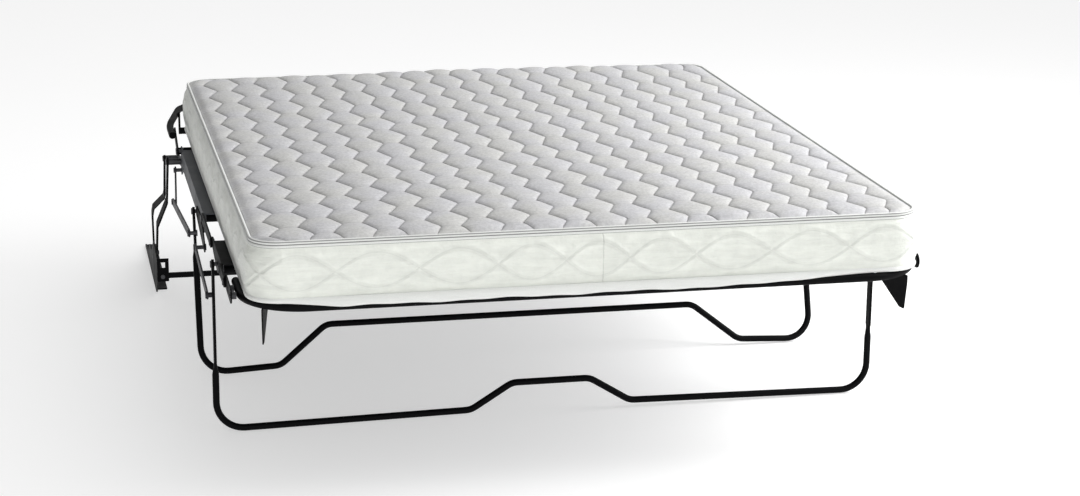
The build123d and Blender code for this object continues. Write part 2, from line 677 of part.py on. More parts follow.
# Head frame: a raised loop behind the mattress, hinged on two lugs, with two low cross tubes
head_front_tube_y = head_hinge[0] + HEAD_FRONT_TUBE
head_rear_tube_y = at(MATTRESS_LENGTH) - HEAD_REAR_TUBE_IN
head_start_y = head_hinge[0] + HEAD_TUBE_START
bend_y = at(MATTRESS_LENGTH - HEAD_BEND_IN)
loop_y = at(MATTRESS_LENGTH + HEAD_LOOP_PAST)
tab_x = head_tube_x - FRAME_TUBE / 2 - HEAD_TAPER * (head_rear_tube_y - bend_y) / (loop_y - bend_y)
with BuildPart() as head_frame:
    with BuildLine() as head_path:
        FilletPolyline(
            (-head_tube_x, head_start_y, HEAD_LOOP_Z),
            (-head_tube_x, bend_y, HEAD_LOOP_Z),
            (-head_tube_x + HEAD_TAPER, loop_y, HEAD_LOOP_Z),
            (head_tube_x - HEAD_TAPER, loop_y, HEAD_LOOP_Z),
            (head_tube_x, bend_y, HEAD_LOOP_Z),
            (head_tube_x, head_start_y, HEAD_LOOP_Z),
            radius=[HEAD_SWEEP, HEAD_CORNER, HEAD_CORNER, HEAD_SWEEP],
        )
    with BuildSketch(Plane(origin=head_path.line @ 0, z_dir=head_path.line % 0)):
        Circle(FRAME_TUBE / 2)
    sweep()
    for side in SIDES.values():
        with BuildSketch(layer(side, leg_x - 3, PLATE)):
            slot_between(head_hinge, (head_hinge[0] + HEAD_LUG_LENGTH, HEAD_LOOP_Z - 4), LINK_WIDTH)
            slot_between(head_hinge, (head_front_tube_y, cross_z), LINK_WIDTH)
            with Locations(head_hinge):
                Circle(hole, mode=Mode.SUBTRACT)
        extrude(amount=PLATE)
        with BuildSketch(layer(side, tab_x - PLATE, PLATE)):
            slot_between((head_rear_tube_y, cross_z), (head_rear_tube_y, HEAD_LOOP_Z), CROSS_TUBE)
        extrude(amount=PLATE + 1)
    for tube_y, reach in ((head_front_tube_y, leg_x - 2), (head_rear_tube_y, tab_x - 1)):
        with BuildSketch(Plane.YZ):
            with Locations((tube_y, cross_z)):
                Circle(CROSS_TUBE / 2)
        extrude(amount=reach, both=True)
save(head_frame.part, "head_frame")


def leg(top, foot_y, flat_length, rise, rise_top, rise_foot, eyes):
    """Bent tube leg: flattened, pierced tops, round corners and a raised middle to its foot bar."""
    bar_z = LEG_TUBE / 2
    up = Vector(0, top[0] - foot_y, top[1] - bar_z)
    height = up.length
    up = up.normalized()
    plane = Plane(origin=(0, top[0], top[1]), x_dir=(1, 0, 0), z_dir=Vector(1, 0, 0).cross(up))
    sag = FRONT_RISE_SAG
    with BuildPart() as tube:
        start = -flat_length - FLAT_TAPER
        with BuildLine(plane) as path:
            FilletPolyline(
                (-leg_x, start),
                (-leg_x, -height),
                (-rise_foot, -height + sag),
                (-rise_top, -height + sag + rise),
                (rise_top, -height + sag + rise),
                (rise_foot, -height + sag),
                (leg_x, -height),
                (leg_x, start),
                radius=[LEG_CORNER, LEG_BEND, LEG_BEND, LEG_BEND, LEG_BEND, LEG_CORNER],
            )
        with BuildSketch(Plane(origin=path.line @ 0, z_dir=path.line % 0)):
            Circle(LEG_TUBE / 2)
        sweep()
        for side in SIDES.values():
            seat = plane.from_local_coords(Vector(side * leg_x, start, 0))
            tip = plane.from_local_coords(Vector(side * leg_x, -flat_length, 0))
            with BuildSketch(Plane(origin=seat, x_dir=(1, 0, 0), z_dir=up)):
                Circle(LEG_TUBE / 2)
            with BuildSketch(Plane(origin=tip, x_dir=(1, 0, 0), z_dir=up)):
                RectangleRounded(LEG_FLAT, LEG_FLAT_WIDTH, LEG_FLAT * 0.45)
            loft()
            flat_end = (tip.Y, tip.Z)
            with BuildSketch(layer(side, leg_x - LEG_FLAT / 2, LEG_FLAT)):
                with Locations(top):
                    Circle(LEG_FLAT_WIDTH / 2)
                with Locations(((top[0] + flat_end[0]) / 2, (top[1] + flat_end[1]) / 2)):
                    tilt = degrees(atan2(top[1] - flat_end[1], top[0] - flat_end[0]))
                    Rectangle(flat_length, LEG_FLAT_WIDTH, rotation=tilt)
                with Locations(top, *eyes):
                    Circle(hole, mode=Mode.SUBTRACT)
            extrude(amount=LEG_FLAT)
    return tube.part


rear_leg = leg(
    rear_leg_top, at(REAR_LEG_FOOT_Y), REAR_FLAT_LENGTH, REAR_RISE, leg_x - REAR_RISE_TOP_IN,
    leg_x - REAR_RISE_FOOT_IN, [rear_control],
)
save(rear_leg, "rear_leg")
front_leg = leg(
    front_leg_top, front_leg_top[0], FRONT_FLAT_LENGTH, FRONT_RISE, FRONT_RISE_TOP, FRONT_RISE_FOOT, [front_control]
)
save(front_leg, "front_leg")


def control_link(side, a, b, pins, boss_from):
    """Thin link of a leg's linkage, with its own pins and spacers riveted in."""
    boss = control_link_x - boss_from - SEAT_GAP
    with BuildPart() as link:
        with BuildSketch(layer(side, control_link_x, PLATE)):
            slot_between(a, b, CONTROL_WIDTH)
            with Locations(*[place for place in (a, b) if place not in pins]):
                Circle(hole, mode=Mode.SUBTRACT)
        extrude(amount=PLATE)
        for place in pins:
            with BuildSketch(layer(side, control_link_x + PLATE, HEAD_THICK)):
                with Locations(place):
                    Circle(RIVET_HEAD)
            extrude(amount=HEAD_THICK)
            with BuildSketch(layer(side, control_link_x - boss, boss)):
                with Locations(place):
                    Circle(BOSS_RADIUS)
            extrude(amount=boss)
    return link.part


for word, side in SIDES.items():
    rear_link = control_link(side, rear_control, knee, [knee], rocker_x + PLATE)
    save(rear_link, f"rear_leg_link_{word}")
    front_link = control_link(side, hanger_eye, front_control, [front_control], leg_x + LEG_FLAT / 2)
    save(front_link, f"front_leg_link_{word}")
    rocker = flat_link(side, rocker_x, PLATE, (rocker_top, knee), CONTROL_WIDTH, (rocker_top, knee))
    save(rocker, f"leg_rocker_{word}")

control_pins = [
    rivet(side, *rear_control, leg_x - LEG_FLAT / 2 - LAYER_GAP, control_link_x + PLATE + LAYER_GAP)
    for side in SIDES.values()
]
save_group(control_pins, "rear_leg_pins")


def deck_panel(start, end, reach, hems, corner=0):
    """Woven deck sheet with a corded hem along each side where springs hold it."""
    with BuildPart() as deck:
        with BuildSketch(Plane.XY.offset(deck_under)):
            with BuildLine():
                Polyline(
                    (corner - reach, start),
                    (reach - corner, start),
                    (reach, start + corner + 1),
                    (reach, end),
                    (-reach, end),
                    (-reach, start + corner + 1),
                    close=True,
                )
            make_face()
        extrude(amount=DECK_SHEET)
        if hems:
            for side in SIDES.values():
                with BuildSketch(Plane.XZ.offset(-start - corner - 25)):
                    with Locations((side * (reach - HEM_RADIUS), deck_under - HEM_RADIUS + 0.4)):
                        Circle(HEM_RADIUS)
                extrude(amount=-(end - start - corner - 50))
    return deck.part


tube_wrap = CROSS_TUBE / 2
save(deck_panel(body_front_tube_y - tube_wrap, body_rear_tube_y + tube_wrap, deck_edge_x, True), "body_deck")
save(deck_panel(mid_front_tube_y - tube_wrap, mid_rear_tube_y + tube_wrap, deck_edge_x, True), "mid_deck")
foot_deck_front = at(FOOT_RAIL_Y) + FRAME_TUBE / 2 + SEAT_GAP
save(deck_panel(foot_deck_front, foot_cross_y + tube_wrap, deck_edge_x, True, FOOT_DECK_CORNER), "foot_deck")
save(deck_panel(head_front_tube_y - tube_wrap, head_rear_tube_y + tube_wrap, deck_edge_x, False), "head_deck")
bridge_gap = 0.5
save(
    deck_panel(
        mid_rear_tube_y + tube_wrap + bridge_gap, body_front_tube_y - tube_wrap - bridge_gap, bridge_edge_x, False
    ),
    "rear_deck_bridge",
)
save(
    deck_panel(
        foot_cross_y + tube_wrap + bridge_gap, mid_front_tube_y - tube_wrap - bridge_gap, bridge_edge_x, False
    ),
    "front_deck_bridge",
)


def biarc(p0, t0, p1, t1):
    """Two tangent arcs from p0 along t0 to p1 along t1, inside a BuildLine."""
    v = p1 - p0
    s = t0 + t1
    a = 2 * (1 - t0.dot(t1))
    b = v.dot(s)
    reach = (-b + sqrt(b * b + a * v.dot(v))) / a
    q0, q1 = p0 + t0 * reach, p1 - t1 * reach
    joint = (q0 + q1) * 0.5
    TangentArc(p0, joint, tangent=t0)
    TangentArc(joint, p1, tangent=(q1 - q0).normalized())


def deck_spring(side, y, z, end_x):
    """Open-wound extension spring from a deck hem to the frame, with straight ends on its axis."""
    start_x = deck_edge_x + SEAT_GAP
    coil = SPRING_TURNS * SPRING_PITCH
    lead = (end_x - SEAT_GAP - start_x - coil) / 2
    straight = lead - SPRING_LEAD
    rise = SPRING_PITCH / (2 * pi * SPRING_RADIUS)

    def on_coil(turns):
        """Place and direction on the coil after a number of turns."""
        angle = 2 * pi * turns
        place = Vector(
            side * (start_x + lead + turns * SPRING_PITCH),
            y + SPRING_RADIUS * cos(angle),
            z + SPRING_RADIUS * sin(angle),
        )
        return place, Vector(side * rise, -sin(angle), cos(angle)).normalized()

    axis = Vector(side, 0, 0)
    with BuildPart() as spring:
        with BuildLine() as wire:
            first = Vector(side * start_x, y, z)
            Line(first, first + axis * straight)
            biarc(first + axis * straight, axis, *on_coil(0))
            for quarter in range(4 * SPRING_TURNS):
                biarc(*on_coil(quarter / 4), *on_coil((quarter + 1) / 4))
            last = Vector(side * (end_x - SEAT_GAP), y, z)
            biarc(*on_coil(SPRING_TURNS), last - axis * straight, axis)
            Line(last - axis * straight, last)
        with BuildSketch(Plane(origin=first, z_dir=axis)):
            Circle(SPRING_WIRE / 2)
        sweep()
    return spring.part


spring_z = deck_under - HEM_RADIUS
turn_gap = SPRING_PITCH * 2 * pi * SPRING_RADIUS / hypot(2 * pi * SPRING_RADIUS, SPRING_PITCH) - SPRING_WIRE
print(f"deck spring: least gap between turns {turn_gap:.2f} mm")


def spring_row(start, end, count, end_x, z):
    """Springs at even steps along both sides of a deck."""
    pitch = (end - start) / count
    return [
        deck_spring(side, start + pitch * (number + 0.5), z, end_x)
        for side in SIDES.values()
        for number in range(count)
    ]


save_group(
    spring_row(body_front_tube_y + 30, body_rear_tube_y - 30, 4, flange_inner, spring_z), "body_deck_springs"
)
save_group(spring_row(mid_front_tube_y + 25, mid_rear_tube_y - 25, 2, flange_inner, spring_z), "mid_deck_springs")
foot_tube_inner = foot_tube_x - FRAME_TUBE / 2
save_group(
    spring_row(at(FOOT_RAIL_Y) + FOOT_CORNER - 20, foot_cross_y - 25, 1, foot_tube_inner, spring_z),
    "foot_deck_springs",
)


def mattress_block():
    """Whole mattress: crowned top in lengthwise channels, sides drawn in, corners rounded."""
    half = MATTRESS_WIDTH / 2
    foot, head = at(0), at(MATTRESS_LENGTH)
    low, high = mattress_bottom, mattress_top
    border = MATTRESS_EDGE_HEIGHT
    pitch = MATTRESS_WIDTH / CHANNEL_COUNT

    def crown(x):
        """Height of the crowned top above its edge."""
        return MATTRESS_CROWN * (1 - (x / half) ** 2)

    with BuildPart() as block:
        with BuildSketch(Plane.XZ.offset(-foot)):
            with BuildLine():
                for number in range(CHANNEL_COUNT):
                    a = -half + number * pitch
                    b, m = a + pitch, a + pitch / 2
                    ThreePointArc((a, high + crown(a)), (m, high + crown(m) + CHANNEL_RISE), (b, high + crown(b)))
                ThreePointArc((half, high), (half - SIDE_DRAW_IN, high - border / 2), (half, low + 8))
                Line((half, low + 8), (half - 8, low))
                Line((half - 8, low), (-half + 8, low))
                Line((-half + 8, low), (-half, low + 8))
                ThreePointArc((-half, low + 8), (-half + SIDE_DRAW_IN, high - border / 2), (-half, high))
            make_face()
        extrude(amount=-MATTRESS_LENGTH)
        with BuildSketch(Plane.YZ):
            with BuildLine():
                Line((foot + 8, low), (head - 8, low))
                Line((head - 8, low), (head, low + 8))
                ThreePointArc((head, low + 8), (head - SIDE_DRAW_IN, high - border / 2), (head, high))
                tall = high + MATTRESS_CROWN + CHANNEL_RISE
                Polyline((head, high), (head - 60, tall), (foot + 60, tall), (foot, high))
                ThreePointArc((foot, high), (foot + SIDE_DRAW_IN, high - border / 2), (foot, low + 8))
                Line((foot, low + 8), (foot + 8, low))
            make_face()
        extrude(amount=half, both=True, mode=Mode.INTERSECT)
        with BuildSketch(Plane.XY.offset(low)):
            with Locations((0, (foot + head) / 2)):
                wide, long = MATTRESS_WIDTH + 2 * CORNER_SLACK, MATTRESS_LENGTH + 2 * CORNER_SLACK
                RectangleRounded(wide, long, MATTRESS_CORNER)
        extrude(amount=border + MATTRESS_CROWN + CHANNEL_RISE, mode=Mode.INTERSECT)
    return block.part


whole_mattress = mattress_block()
cuts = [
    at(0), foot_hinge[0], mid_front_hinge[0], mid_rear_hinge[0], body_hinge[0], head_hinge[0], at(MATTRESS_LENGTH)
]
stretches = ("foot", "front_bend", "mid", "rear_bend", "body", "head")
for name, start, end in zip(stretches, cuts, cuts[1:]):
    front = start + (SECTION_GAP / 2 if start > cuts[0] else 0)
    rear = end - (SECTION_GAP / 2 if end < cuts[-1] else 0)
    with BuildPart() as section:
        add(whole_mattress)
        with BuildSketch(Plane.XY.offset(mattress_bottom)):
            with Locations((0, (front + rear) / 2)):
                Rectangle(MATTRESS_WIDTH, rear - front)
        extrude(amount=MATTRESS_EDGE_HEIGHT + MATTRESS_CROWN + CHANNEL_RISE, mode=Mode.INTERSECT)
    save(section.part, f"mattress_{name}")
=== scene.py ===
"""Fold-out sofa bed, opened out: quilted mattress, woven decks, painted steel and the studio round it."""
import json
import math

import bpy
import numpy as np
from mathutils import Matrix, Vector


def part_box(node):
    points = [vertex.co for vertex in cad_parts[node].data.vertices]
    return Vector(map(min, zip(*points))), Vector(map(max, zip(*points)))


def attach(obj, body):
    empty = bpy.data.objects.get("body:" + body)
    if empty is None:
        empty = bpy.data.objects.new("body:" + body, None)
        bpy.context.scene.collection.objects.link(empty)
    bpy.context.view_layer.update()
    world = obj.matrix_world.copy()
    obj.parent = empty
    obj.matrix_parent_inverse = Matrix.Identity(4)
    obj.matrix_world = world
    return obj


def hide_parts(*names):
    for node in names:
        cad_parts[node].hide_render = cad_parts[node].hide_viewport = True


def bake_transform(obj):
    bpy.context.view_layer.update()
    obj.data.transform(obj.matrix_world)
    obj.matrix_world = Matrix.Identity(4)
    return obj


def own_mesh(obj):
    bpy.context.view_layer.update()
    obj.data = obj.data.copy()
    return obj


bl_info = {
    "name": "Sofa Bed",
    "version": (1, 0, 0),
    "blender": (4, 5, 0),
    "location": "3D Viewport > Sidebar > Sofa Bed",
    "description": "Finishes a fold-out sofa bed and makes its mattress and deck cloths",
    "category": "Object",
}

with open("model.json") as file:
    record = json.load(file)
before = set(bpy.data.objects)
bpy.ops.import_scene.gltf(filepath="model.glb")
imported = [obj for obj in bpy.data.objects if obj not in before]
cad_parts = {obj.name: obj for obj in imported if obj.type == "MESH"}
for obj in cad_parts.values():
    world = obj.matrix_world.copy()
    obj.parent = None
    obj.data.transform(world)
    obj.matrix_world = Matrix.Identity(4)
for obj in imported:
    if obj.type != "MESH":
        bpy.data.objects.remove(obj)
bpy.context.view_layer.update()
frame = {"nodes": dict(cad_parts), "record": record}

STRETCHES = ("foot", "front_bend", "mid", "rear_bend", "body", "head")
stretch_boxes = [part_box(f"mattress_{name}") for name in STRETCHES]
mattress_foot_y = stretch_boxes[0][0].y
mattress_head_y = stretch_boxes[-1][1].y
mattress_low = stretch_boxes[0][0].z
cut_places = [(a[1].y + b[0].y) / 2 for a, b in zip(stretch_boxes, stretch_boxes[1:])]
head_cut_y = cut_places.pop()

# The ends of the stretches are shifted to stay behind the bridge cloths when folded. The body is cut at the length that
# lies under the folded stack, and in strips behind it.
CUT_SHIFTS = (-0.003, 0.003, -0.003, 0.02)
UNDER_STACK_LENGTH, UNDER_STACK_KEEP = 0.224, 0.62
SLOPE_STRIPS, SLOPE_STRIP_LENGTH = 8, 0.02
cut_places = [place_y + shift for place_y, shift in zip(cut_places, CUT_SHIFTS)]
slope_y = cut_places[-1] + UNDER_STACK_LENGTH
cut_places += [slope_y + SLOPE_STRIP_LENGTH * k for k in range(SLOPE_STRIPS + 1)] + [head_cut_y]

# Inset from the mattress outline and height from its edge, down each wall, in millimetres
TOP_TAPE = (
    (19, -0.6), (17.4, 0.9), (15.4, 2.1), (13.4, 1.7), (11.8, 0.1), (11.2, -2.3), (11.6, -4.7), (13.2, -6.2),
    (11.9, -7.4), (10.5, -9.4), (10.2, -11.4), (11, -13.2),
)
BOTTOM_TAPE = (
    (4.6, -121.4), (3.2, -122.4), (2, -124.2), (1.5, -126.4), (1.6, -128.6), (2.4, -130.6), (3.8, -131.9),
    (5.2, -132.5), (6.4, -132.8), (7.4, -133), (8.4, -133),
)
# The bottom tape where it hangs over the front tube
HUNG_TAPE = (
    (2.2, -121.4), (-2.6, -123.2), (-8, -126), (-12.4, -129.6), (-15.2, -133.4), (-16.2, -137), (-15.8, -139.4),
    (-14.4, -139.6), (-12.2, -134.6), (-5.6, -132.6), (8.4, -132.6),
)
# Distances from the left and right sides where the hung tape starts and where it begins to come out over the tube, and
# the lengths over which it does
HUNG_ENDS, HUNG_STARTS, HUNG_RISES = (0.064, 0.09), (0.055, 0.09), (0.17, 0.38)
HUNG_STEPS = 220

# Border between the tapes, with its crossing wave lines and its seam
BORDER_STEPS = 14
FIRST_BORDER, LAST_BORDER = len(TOP_TAPE) - 1, len(TOP_TAPE) + BORDER_STEPS
OGEE_LENGTH, OGEE_RISE = 0.32, 0.039
OGEE_SWAY, OGEE_SWAY_TURN = 0.35, 7.1
VALLEY_DEPTH, VALLEY_REACH = 0.0034, 0.020
RIPPLE_DEPTH, BORDER_FADE = 0.0012, 0.012
SEAM_X = 0.013
# Depths below the edge of the grooves beside the two rolls of the top tape, where the tape's colour gets painted shade
TAPE_GROOVES = (0.0005, 0.0064, 0.0134)
PANEL_SLOT, BORDER_SLOT, TAPE_SLOT, TICKING_SLOT = range(4)

# Quilting of the top: columns across each channel, rows along it, necks, and the rise from the tape inwards
ACROSS_CHANNEL = (0, 0.05, 0.14, 0.27, 0.42, 0.58, 0.73, 0.86, 0.95)
ROWS_PER_CELL, ROW_GAP = 16, 0.004
NECK_DEPTH, NECK_SPREAD = 0.6, 0.055
CROWN_REACH, PUFF_REACH = 0.03, 0.016
UNEVENNESS, LINE_SWAY = 0.0008, 0.0012

# Share of its height that each kind of piece keeps in the folded stack
SECTION_KEEP, BEND_KEEP = 0.285, 0.03

# Deck cloths and their hems
DECK_THICKNESS, DECK_RIPPLE = 0.0015, 0.0003
DECK_COLUMNS, DECK_ROW = 60, 0.02
FOOT_DECK_CORNER = 0.05
HEM_SIDES, HEM_RING_STEP = 12, 0.012
HEM_GAP, FOOT_HEM_GAP = 0.025, 0.075


class MattressSettings(bpy.types.PropertyGroup):
    """Sizes and colours of the mattress."""
    width: bpy.props.FloatProperty(
        name="Width", description="Mattress width at its widest", default=1.524, unit="LENGTH")
    border_height: bpy.props.FloatProperty(
        name="Border height", description="Height of the mattress edge", default=0.133, unit="LENGTH")
    corner_radius: bpy.props.FloatProperty(
        name="Corner radius", description="Radius of the mattress corners seen from above", default=0.075,
        unit="LENGTH")
    crown: bpy.props.FloatProperty(
        name="Crown", description="How far the middle of the top stands above its edge", default=0.006, unit="LENGTH")
    channels: bpy.props.IntProperty(name="Channels", description="Lengthwise quilting channels", default=22, min=4)
    zigzag: bpy.props.FloatProperty(
        name="Zigzag", description="Sideways swing of a stitch line either way", default=0.0145, unit="LENGTH")
    first_cell: bpy.props.FloatProperty(
        name="First cell", description="Length of a quilt cell at the foot end", default=0.122, unit="LENGTH")
    cell_growth: bpy.props.FloatProperty(
        name="Cell growth", description="Share by which each cell is longer than the one before", default=0.03445)
    puff: bpy.props.FloatProperty(
        name="Puff", description="Rise of the quilting between stitch lines", default=0.0067, unit="LENGTH")
    panel_colour: bpy.props.FloatVectorProperty(
        name="Panel colour", description="Colour of the quilted top", subtype="COLOR", default=(0.50, 0.50, 0.505))
    border_colour: bpy.props.FloatVectorProperty(
        name="Border colour", description="Colour of the satin border", subtype="COLOR",
        default=(0.745, 0.765, 0.71))
    tape_colour: bpy.props.FloatVectorProperty(
        name="Tape colour", description="Colour of the edge tape", subtype="COLOR", default=(0.74, 0.75, 0.73))


class SteelSettings(bpy.types.PropertyGroup):
    """Colours of the painted and plated steel."""
    tube_colour: bpy.props.FloatVectorProperty(
        name="Tube colour", description="Paint of the tubes, arms and brackets", subtype="COLOR",
        default=(0.0025, 0.0025, 0.003))
    rail_colour: bpy.props.FloatVectorProperty(
        name="Rail colour", description="Paint of the side rails", subtype="COLOR", default=(0.062, 0.066, 0.074))
    link_colour: bpy.props.FloatVectorProperty(
        name="Link colour", description="Plating of the leg links", subtype="COLOR", default=(0.03, 0.03, 0.034))
    wear: bpy.props.FloatProperty(
        name="Wear", description="How far the paint is scuffed", default=0.25, min=0, max=1, subtype="FACTOR")


class DeckSettings(bpy.types.PropertyGroup):
    """Sizes and colour of the deck cloths."""
    hem_radius: bpy.props.FloatProperty(
        name="Hem radius", description="Radius of the corded hem along each side", default=0.004, unit="LENGTH")
    sag: bpy.props.FloatProperty(
        name="Sag", description="Sag of a cloth between its tubes", default=0.0015, unit="LENGTH")
    colour: bpy.props.FloatVectorProperty(
        name="Colour", description="Colour of the woven cloth", subtype="COLOR", default=(0.05, 0.05, 0.055))


class StudioSettings(bpy.types.PropertyGroup):
    """Floor, lights and camera."""
    floor_colour: bpy.props.FloatVectorProperty(
        name="Floor colour", description="Colour of the studio floor", subtype="COLOR", default=(0.62, 0.62, 0.62))
    floor_glow: bpy.props.FloatProperty(
        name="Floor glow", description="Light that the lit floor gives by itself", default=0.5, min=0)
    key_power: bpy.props.FloatProperty(
        name="Key power", description="Power of the main light", default=120, unit="POWER")
    camera_place: bpy.props.FloatVectorProperty(
        name="Camera place", description="Where the camera stands", subtype="TRANSLATION",
        default=(-1.21736, -5.92561, 1.87928))
    camera_turn: bpy.props.FloatProperty(
        name="Camera turn", description="Heading of the view, from straight up the bed towards the right",
        subtype="ANGLE", default=math.radians(12.642))
    camera_dip: bpy.props.FloatProperty(
        name="Camera dip", description="How far the view looks down", subtype="ANGLE", default=math.radians(15.171))
    camera_roll: bpy.props.FloatProperty(
        name="Camera roll", description="Roll of the camera", subtype="ANGLE", default=math.radians(0.5585))
    lens: bpy.props.FloatProperty(name="Lens", description="Focal length in millimetres", default=79.566)


# Nodes

def place(tree, kind, inputs=None, **settings):
    """Add a node, make its settings, and set or join its inputs."""
    made = tree.nodes.new(kind)
    for key, value in settings.items():
        setattr(made, key, value)
    for key, value in (inputs or {}).items():
        if isinstance(value, bpy.types.NodeSocket):
            tree.links.new(value, made.inputs[key])
        else:
            made.inputs[key].default_value = value
    return made


def split(tree, vector):
    """X, Y and Z of a vector."""
    return place(tree, "ShaderNodeSeparateXYZ", {0: vector}).outputs


def uv_place(tree, layer):
    """Place on a UV layer."""
    return place(tree, "ShaderNodeUVMap", uv_map=layer).outputs[0]


def calc(tree, operation, *values):
    """Result of a Math node on numbers or sockets."""
    return place(tree, "ShaderNodeMath", dict(enumerate(values)), operation=operation).outputs[0]


def fade(tree, value, low, high, to_low=0.0, to_high=1.0):
    """Smooth change of a value from one range to another."""
    inputs = {"Value": value, "From Min": low, "From Max": high, "To Min": to_low, "To Max": to_high}
    return place(tree, "ShaderNodeMapRange", inputs, interpolation_type="SMOOTHSTEP").outputs["Result"]


def mix(tree, share, first, second, blend="MIX"):
    """Mix of two colours."""
    inputs = {0: share, 6: first, 7: second}
    return place(tree, "ShaderNodeMix", inputs, data_type="RGBA", blend_type=blend).outputs[2]


def tint(tree, colour, tone):
    """Colour times a grey tone."""
    grey = place(tree, "ShaderNodeCombineColor", {0: tone, 1: tone, 2: tone}).outputs[0]
    return mix(tree, 1.0, colour, grey, "MULTIPLY")


def darken(tree, tone, *shades):
    """Tone made darker by a share where each mask is full."""
    for mask, share in shades:
        tone = calc(tree, "MULTIPLY", tone, calc(tree, "SUBTRACT", 1.0, calc(tree, "MULTIPLY", mask, share)))
    return tone


def add_reliefs(tree, height, *reliefs):
    """Height with each pattern added at its own depth in metres."""
    for pattern, depth in reliefs:
        height = calc(tree, "ADD", height, calc(tree, "MULTIPLY", pattern, depth))
    return height


def noise(tree, vector, scale, detail=3.0, roughness=0.55):
    """Noise of a given number of features in a metre."""
    inputs = {"Vector": vector, "Scale": scale, "Detail": detail, "Roughness": roughness}
    return place(tree, "ShaderNodeTexNoise", inputs).outputs[0]


def stretch(tree, vector, factors):
    """Vector scaled by its own factor on each axis."""
    return place(tree, "ShaderNodeVectorMath", {0: vector, 1: factors}, operation="MULTIPLY").outputs[0]


def rgba(colour, share=1.0):
    """Colour with alpha, lightened or darkened by a share."""
    return (colour[0] * share, colour[1] * share, colour[2] * share, 1)


def effect(name, inputs, outputs):
    """New shader node group with named sockets: its tree, inputs and outputs."""
    tree = bpy.data.node_groups.new(name, "ShaderNodeTree")
    for label, kind, default in inputs:
        tree.interface.new_socket(label, in_out="INPUT", socket_type=kind).default_value = default
    for label, kind in outputs:
        tree.interface.new_socket(label, in_out="OUTPUT", socket_type=kind)
    return tree, tree.nodes.new("NodeGroupInput").outputs, tree.nodes.new("NodeGroupOutput").inputs


def use(tree, name, inputs):
    """Place a node group in a material with its own values."""
    return place(tree, "ShaderNodeGroup", inputs, node_tree=bpy.data.node_groups[name]).outputs


def start_material(name):
    """New material, its tree and its shader."""
    material = bpy.data.materials.new(name)
    material.use_nodes = True
    return material, material.node_tree, material.node_tree.nodes["Principled BSDF"]


def raise_surface(tree, shader, height, strength=1.0):
    """Join a height in metres to the shader's normal."""
    bump = place(tree, "ShaderNodeBump", {"Height": height, "Strength": strength, "Distance": 1.0})
    tree.links.new(bump.outputs[0], shader.inputs["Normal"])


def make_weave_group():
    """Plain weave: over and under threads seen as height and as painted shade, lighter where they rise over and darker
    where they dip under.
    """
    tree, given, out = effect(
        "Woven threads",
        [("Place", "NodeSocketVector", (0, 0, 0)), ("Threads per metre", "NodeSocketFloat", 800.0),
         ("Depth", "NodeSocketFloat", 0.0002)],
        [("Height", "NodeSocketFloat"), ("Shade", "NodeSocketFloat")],
    )
    axes = split(tree, given["Place"])
    turn = calc(tree, "MULTIPLY", given["Threads per metre"], math.pi)
    warp = calc(tree, "SINE", calc(tree, "MULTIPLY", axes[0], turn))
    weft = calc(tree, "SINE", calc(tree, "MULTIPLY", axes[1], turn))
    over = calc(tree, "MULTIPLY", warp, weft)
    tree.links.new(calc(tree, "MULTIPLY", over, given["Depth"]), out["Height"])
    fuzz = noise(tree, given["Place"], 900.0, 2.0)
    # Painted shade: threads lighter where they rise over, darker where they dip under; the fuzz is a random tone.
    shade = calc(tree, "ADD", calc(tree, "MULTIPLY", over, 0.12), calc(tree, "MULTIPLY", fuzz, 0.3))
    tree.links.new(calc(tree, "ADD", shade, 0.82), out["Shade"])


def make_paint_group():
    """Paint with soft scuffs and blotches: colour, roughness and height."""
    tree, given, out = effect(
        "Scuffed paint",
        [("Place", "NodeSocketVector", (0, 0, 0)), ("Paint", "NodeSocketColor", (0, 0, 0, 1)),
         ("Bare", "NodeSocketColor", (0.3, 0.3, 0.3, 1)), ("Wear", "NodeSocketFloat", 0.2),
         ("Gloss", "NodeSocketFloat", 0.5), ("Peel", "NodeSocketFloat", 0.00002)],
        [("Colour", "NodeSocketColor"), ("Roughness", "NodeSocketFloat"), ("Height", "NodeSocketFloat")],
    )
    blotch = noise(tree, given["Place"], 9.0, 5.0, 0.6)
    scratch = noise(tree, stretch(tree, given["Place"], (30, 220, 220)), 1.0, 4.0, 0.7)
    mask = fade(tree, calc(tree, "MULTIPLY", blotch, scratch), 0.33, 0.46)
    mask = calc(tree, "MULTIPLY", mask, given["Wear"])
    tone = fade(tree, blotch, 0.3, 0.7, 0.85, 1.2)
    tree.links.new(mix(tree, mask, tint(tree, given["Paint"], tone), given["Bare"]), out["Colour"])
    rough = calc(tree, "SUBTRACT", 1.0, given["Gloss"])
    spread = fade(tree, blotch, 0.3, 0.7, -0.06, 0.08)
    rough = calc(tree, "ADD", calc(tree, "ADD", rough, spread), calc(tree, "MULTIPLY", mask, 0.2))
    tree.links.new(rough, out["Roughness"])
    peel = calc(tree, "MULTIPLY", noise(tree, given["Place"], 500.0, 2.0), given["Peel"])
    tree.links.new(add_reliefs(tree, peel, (mask, -0.00004)), out["Height"])


def steel_finish(name, paint, bare, wear, gloss, metal, shine):
    """Painted or plated steel."""
    material, tree, shader = start_material(name)
    spot = tree.nodes.new("ShaderNodeTexCoord").outputs["Object"]
    got = use(tree, "Scuffed paint", {
        "Place": spot, "Paint": rgba(paint), "Bare": rgba(bare), "Wear": wear, "Gloss": gloss, "Peel": 0.00002})
    tree.links.new(got["Colour"], shader.inputs["Base Color"])
    tree.links.new(got["Roughness"], shader.inputs["Roughness"])
    shader.inputs["Metallic"].default_value = metal
    shader.inputs["Specular IOR Level"].default_value = shine
    raise_surface(tree, shader, got["Height"])
    return material


